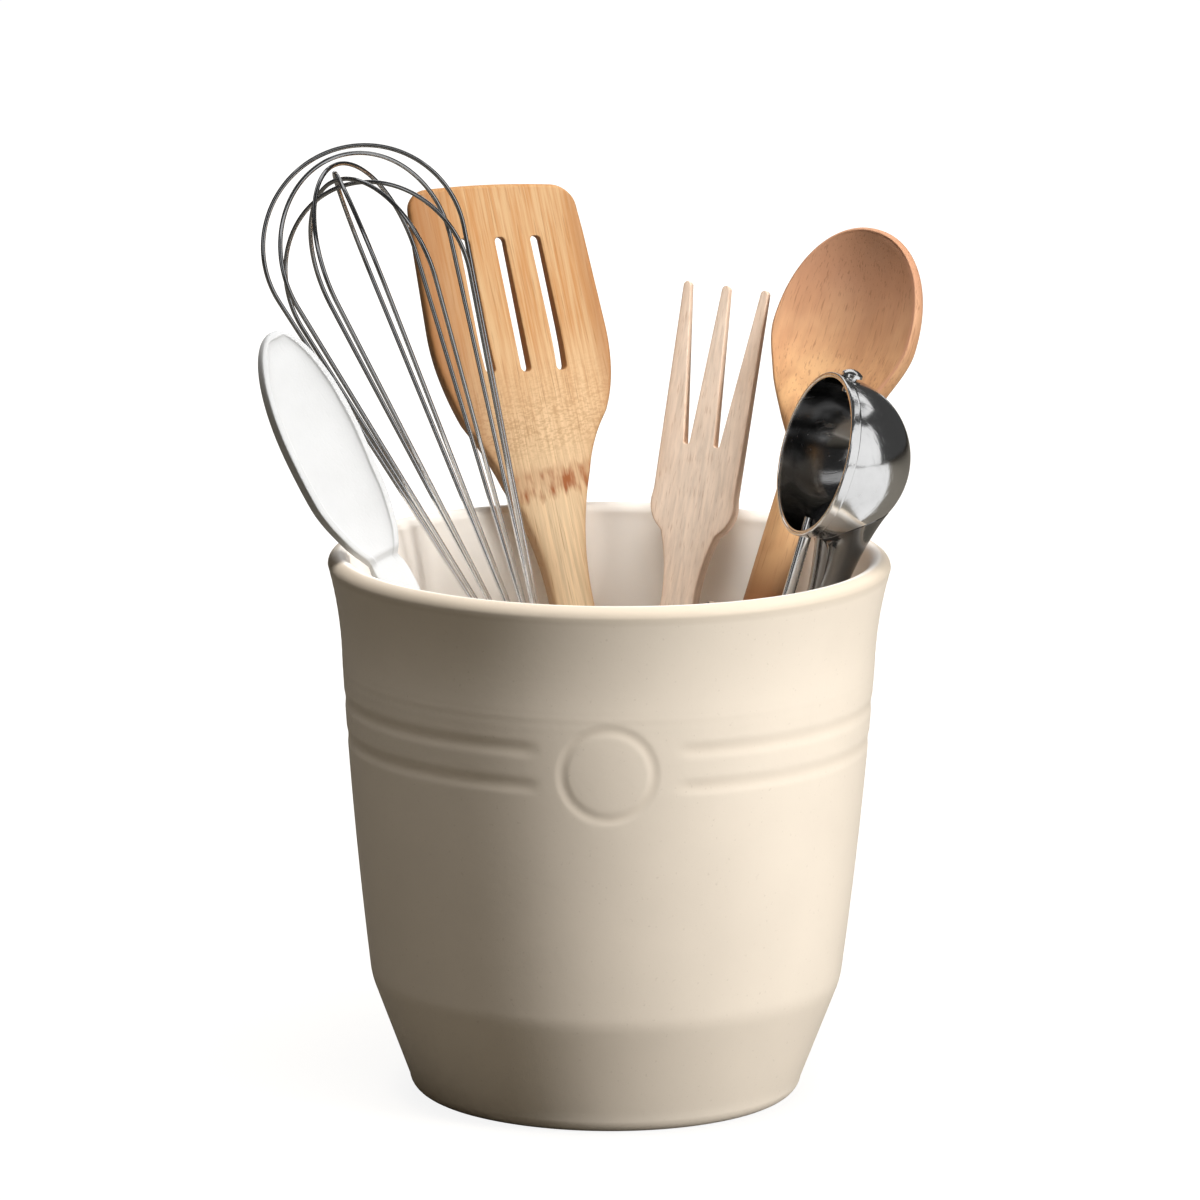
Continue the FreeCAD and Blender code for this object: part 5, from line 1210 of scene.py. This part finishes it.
class CROCK_OT_scoop(bpy.types.Operator):
    """Spin the scoop's bowl and fit its stem, handle, sweeper and spring"""
    bl_idname = "crock.scoop"
    bl_label = "Scoop"

    def execute(self, context):
        look, place = context.scene.crock_scoop, tilt("scoop")
        # Painted reflection: darker metal inside the bowl through its mask, and on the stem and frame.
        chrome = metal_finish("scoop_chrome", look.chrome, 0.07, 0.20, 45.0, 0.06, look.dark_reflection)
        dark = metal_finish("scoop_painted_dark_chrome", look.dark_reflection, 0.07, 0.20, 45.0, 0.06)
        gear = metal_finish("scoop_gear", look.gear, 0.25, 0.40, 90.0, 0.2)
        ball, dark_inside = bowl_surface(look)
        piece("scoop_ball", ball, chrome, "scoop", ["scoop_bowl"], place, wear_and_shade=dark_inside)
        piece("scoop_stem", stem_surface(look), dark, "scoop", [], place, sharp=35)
        for name, surface, body, node, slot in (
                ("scoop_grip", scoop_grip_surface(look), "scoop", "scoop_handle", "scoop_chrome"),
                ("scoop_cap", scoop_cap_surface(look), "scoop", "scoop_end_cap", "scoop_chrome"),
                ("scoop_rod", rod_surface(), "scoop_sweeper", "scoop_spindle", "scoop_gear"),
                ("scoop_nub", nub_surface(), "scoop_sweeper", "scoop_top_pivot", "scoop_chrome"),
                ("scoop_blade", sweeper_surface(look), "scoop_sweeper", "scoop_sweeper", "scoop_chrome")):
            piece(name, surface, chrome, body, [node], place)
        spring = piece("scoop_coil", spring_surface(), gear, "scoop", ["scoop_return_spring"],
                       place)
        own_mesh(spring)
        dress("scoop_frame", dark)
        for node in ("scoop_gear_cover", "scoop_thumb_pad"):
            dress(node, chrome)
        for node in ("scoop_cover_screw_1", "scoop_cover_screw_2", "scoop_rack", "scoop_pinion"):
            dress(node, gear)
        return {"FINISHED"}


def panel(name, place, aim, size, power):
    """Area light at a place in metres, turned to a point."""
    data = bpy.data.lights.new(name, "AREA")
    data.shape, data.size, data.size_y, data.energy = "RECTANGLE", size[0], size[1], power
    lamp = bpy.data.objects.new(name, data)
    bpy.context.scene.collection.objects.link(lamp)
    lamp.location = place
    lamp.rotation_euler = (Vector(aim) - Vector(place)).to_track_quat("-Z", "Y").to_euler()
    lamp.visible_glossy = False


def sheet(name, corners, finish):
    """Flat four-cornered piece of the stage."""
    mesh = bpy.data.meshes.new(name)
    mesh.from_pydata(corners, [], [(0, 1, 2, 3)])
    mesh.materials.append(finish)
    thing = bpy.data.objects.new(name, mesh)
    bpy.context.scene.collection.objects.link(thing)
    return thing


def card(name, place, aim, size, shown):
    """Studio card that only reflections show, turned to a point, in one plain colour."""
    turn = (Vector(aim) - Vector(place)).to_track_quat("-Z", "Y").to_matrix()
    corners = [Vector((x * size[0] / 2, y * size[1] / 2, 0)) for x, y in ((-1, 1), (1, 1), (1, -1), (-1, -1))]
    finish, tree, shader, _spot = new_finish(name)
    glow = put(tree, "ShaderNodeEmission", {"Color": shade(shown), "Strength": 1.0})
    tree.links.new(glow.outputs[0], tree.nodes["Material Output"].inputs["Surface"])
    tree.nodes.remove(shader)
    thing = sheet(name, [tuple(Vector(place) + turn @ corner) for corner in corners], finish)
    thing.visible_camera = thing.visible_diffuse = thing.visible_shadow = False


def floor_finish(look):
    """Pale floor that keeps the shadow and glows to the camera alone, whiter away from the crock."""
    finish, tree, shader, spot = new_finish("floor_white")
    shader.inputs["Base Color"].default_value = shade(look.floor)
    shader.inputs["Roughness"].default_value = 0.9
    shader.inputs["Specular IOR Level"].default_value = 0.0
    seen = put(tree, "ShaderNodeLightPath").outputs["Is Camera Ray"]
    far = put(tree, "ShaderNodeVectorMath", {0: spot}, operation="LENGTH").outputs["Value"]
    strength = spread(tree, far, 0.2, 0.9, 0.89, 1.0)
    glow = put(tree, "ShaderNodeEmission", {"Color": shade(WHITE), "Strength": strength})
    both = put(tree, "ShaderNodeAddShader", {0: shader.outputs[0], 1: glow.outputs[0]})
    mix = put(tree, "ShaderNodeMixShader", {0: seen, 1: shader.outputs[0], 2: both.outputs[0]})
    tree.links.new(mix.outputs[0], tree.nodes["Material Output"].inputs["Surface"])
    return finish


def studio_world(look):
    """White surroundings for the camera, mirrors and glass, and a faint warm light from all round."""
    world = bpy.data.worlds.new("studio")
    world.use_nodes = True
    tree = world.node_tree
    path = put(tree, "ShaderNodeLightPath").outputs
    white = put(tree, "ShaderNodeBackground", {"Color": shade(WHITE), "Strength": 1.0})
    fill = put(tree, "ShaderNodeBackground", {"Color": shade(look.warmth), "Strength": look.fill})
    shown = sums(tree, "MAXIMUM", path["Is Camera Ray"], path["Is Glossy Ray"])
    shown = sums(tree, "MAXIMUM", shown, path["Is Transmission Ray"])
    both = put(tree, "ShaderNodeMixShader", {0: shown, 1: fill.outputs[0], 2: white.outputs[0]})
    tree.links.new(both.outputs[0], tree.nodes["World Output"].inputs["Surface"])
    return world


def photo_camera(look):
    """Long lens that looks a little down on the crock, rolled slightly."""
    pitch, roll, place = math.radians(78.553), math.radians(0.44), (-0.00256, -2.509, 0.6503)
    camera = bpy.data.cameras.new("photo_camera")
    camera.lens, camera.sensor_width, camera.clip_end = look.lens, 36.0, 60.0
    eye = bpy.data.objects.new("photo_camera", camera)
    bpy.context.scene.collection.objects.link(eye)
    turn = Euler((pitch, 0, 0)).to_matrix() @ Matrix.Rotation(roll, 3, "Z")
    eye.matrix_world = Matrix.Translation(place) @ turn.to_4x4()
    return eye


class CROCK_OT_stage(bpy.types.Operator):
    """Set the pale floor, the studio light and the camera"""
    bl_idname = "crock.stage"
    bl_label = "Stage"

    def execute(self, context):
        look, scene = context.scene.crock_stage, context.scene
        scene.view_settings.view_transform = "Standard"
        reach = 8.0
        corners = [(-reach, -reach, 0.0), (reach, -reach, 0.0), (reach, reach, 0.0), (-reach, reach, 0.0)]
        sheet("studio_floor", corners, floor_finish(look))
        scene.world = studio_world(look)
        aim = (0.0, 0.0, 0.13)
        panel("key_light", (1.28, -0.72, 0.62), aim, (0.45, 0.9), look.key)
        panel("top_light", (0.0, -0.28, 1.72), aim, (1.0, 0.8), look.top)
        panel("back_light", (0.0, 1.70, 0.75), aim, (0.9, 0.9), look.back)
        for name, (place, size) in DARK_CARDS.items():
            card(name, place, aim, size, look.card)
        card("card_bright", BRIGHT_CARD[0], aim, BRIGHT_CARD[1], WHITE)
        above = (FLOOR_CARD[0][0], FLOOR_CARD[0][1], 1.0)
        card("card_floor", FLOOR_CARD[0], above, FLOOR_CARD[1], WHITE)
        scene.camera = photo_camera(look)
        return {"FINISHED"}


MAKERS = (
    CROCK_OT_pot, CROCK_OT_white_spoon, CROCK_OT_wooden_spoon, CROCK_OT_turner, CROCK_OT_fork,
    CROCK_OT_whisk, CROCK_OT_scoop, CROCK_OT_stage,
)
LOOKS = (
    ("crock_pot", CrockLook), ("crock_white_spoon", WhiteSpoonLook), ("crock_wooden_spoon", WoodenSpoonLook),
    ("crock_turner", TurnerLook), ("crock_fork", ForkLook), ("crock_whisk", WhiskLook),
    ("crock_scoop", ScoopLook), ("crock_stage", StageLook),
)


class VIEW3D_PT_crock(bpy.types.Panel):
    """Lists the crock's pieces with their sizes and colours"""
    bl_label = "Utensil crock"
    bl_space_type = "VIEW_3D"
    bl_region_type = "UI"
    bl_category = "Crock"

    def draw(self, context):
        for maker, (name, _look) in zip(MAKERS, LOOKS):
            box = self.layout.box()
            box.operator(maker.bl_idname)
            group = getattr(context.scene, name)
            for key in group.bl_rna.properties.keys():
                if key not in ("rna_type", "name"):
                    box.prop(group, key)


def register():
    """Adds the properties, the operators and the panel to Blender."""
    for name, look in LOOKS:
        bpy.utils.register_class(look)
        setattr(bpy.types.Scene, name, bpy.props.PointerProperty(type=look))
    for maker in MAKERS:
        bpy.utils.register_class(maker)
    bpy.utils.register_class(VIEW3D_PT_crock)


def unregister():
    """Takes them out again in the opposite order."""
    bpy.utils.unregister_class(VIEW3D_PT_crock)
    for maker in reversed(MAKERS):
        bpy.utils.unregister_class(maker)
    for name, look in reversed(LOOKS):
        delattr(bpy.types.Scene, name)
        bpy.utils.unregister_class(look)


def main():
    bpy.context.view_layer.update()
    register()
    bpy.ops.crock.pot()
    bpy.ops.crock.white_spoon()
    bpy.ops.crock.wooden_spoon()
    bpy.ops.crock.turner()
    bpy.ops.crock.fork()
    bpy.ops.crock.whisk()
    bpy.ops.crock.scoop()
    bpy.ops.crock.stage()


if __name__ == "__main__":
    main()
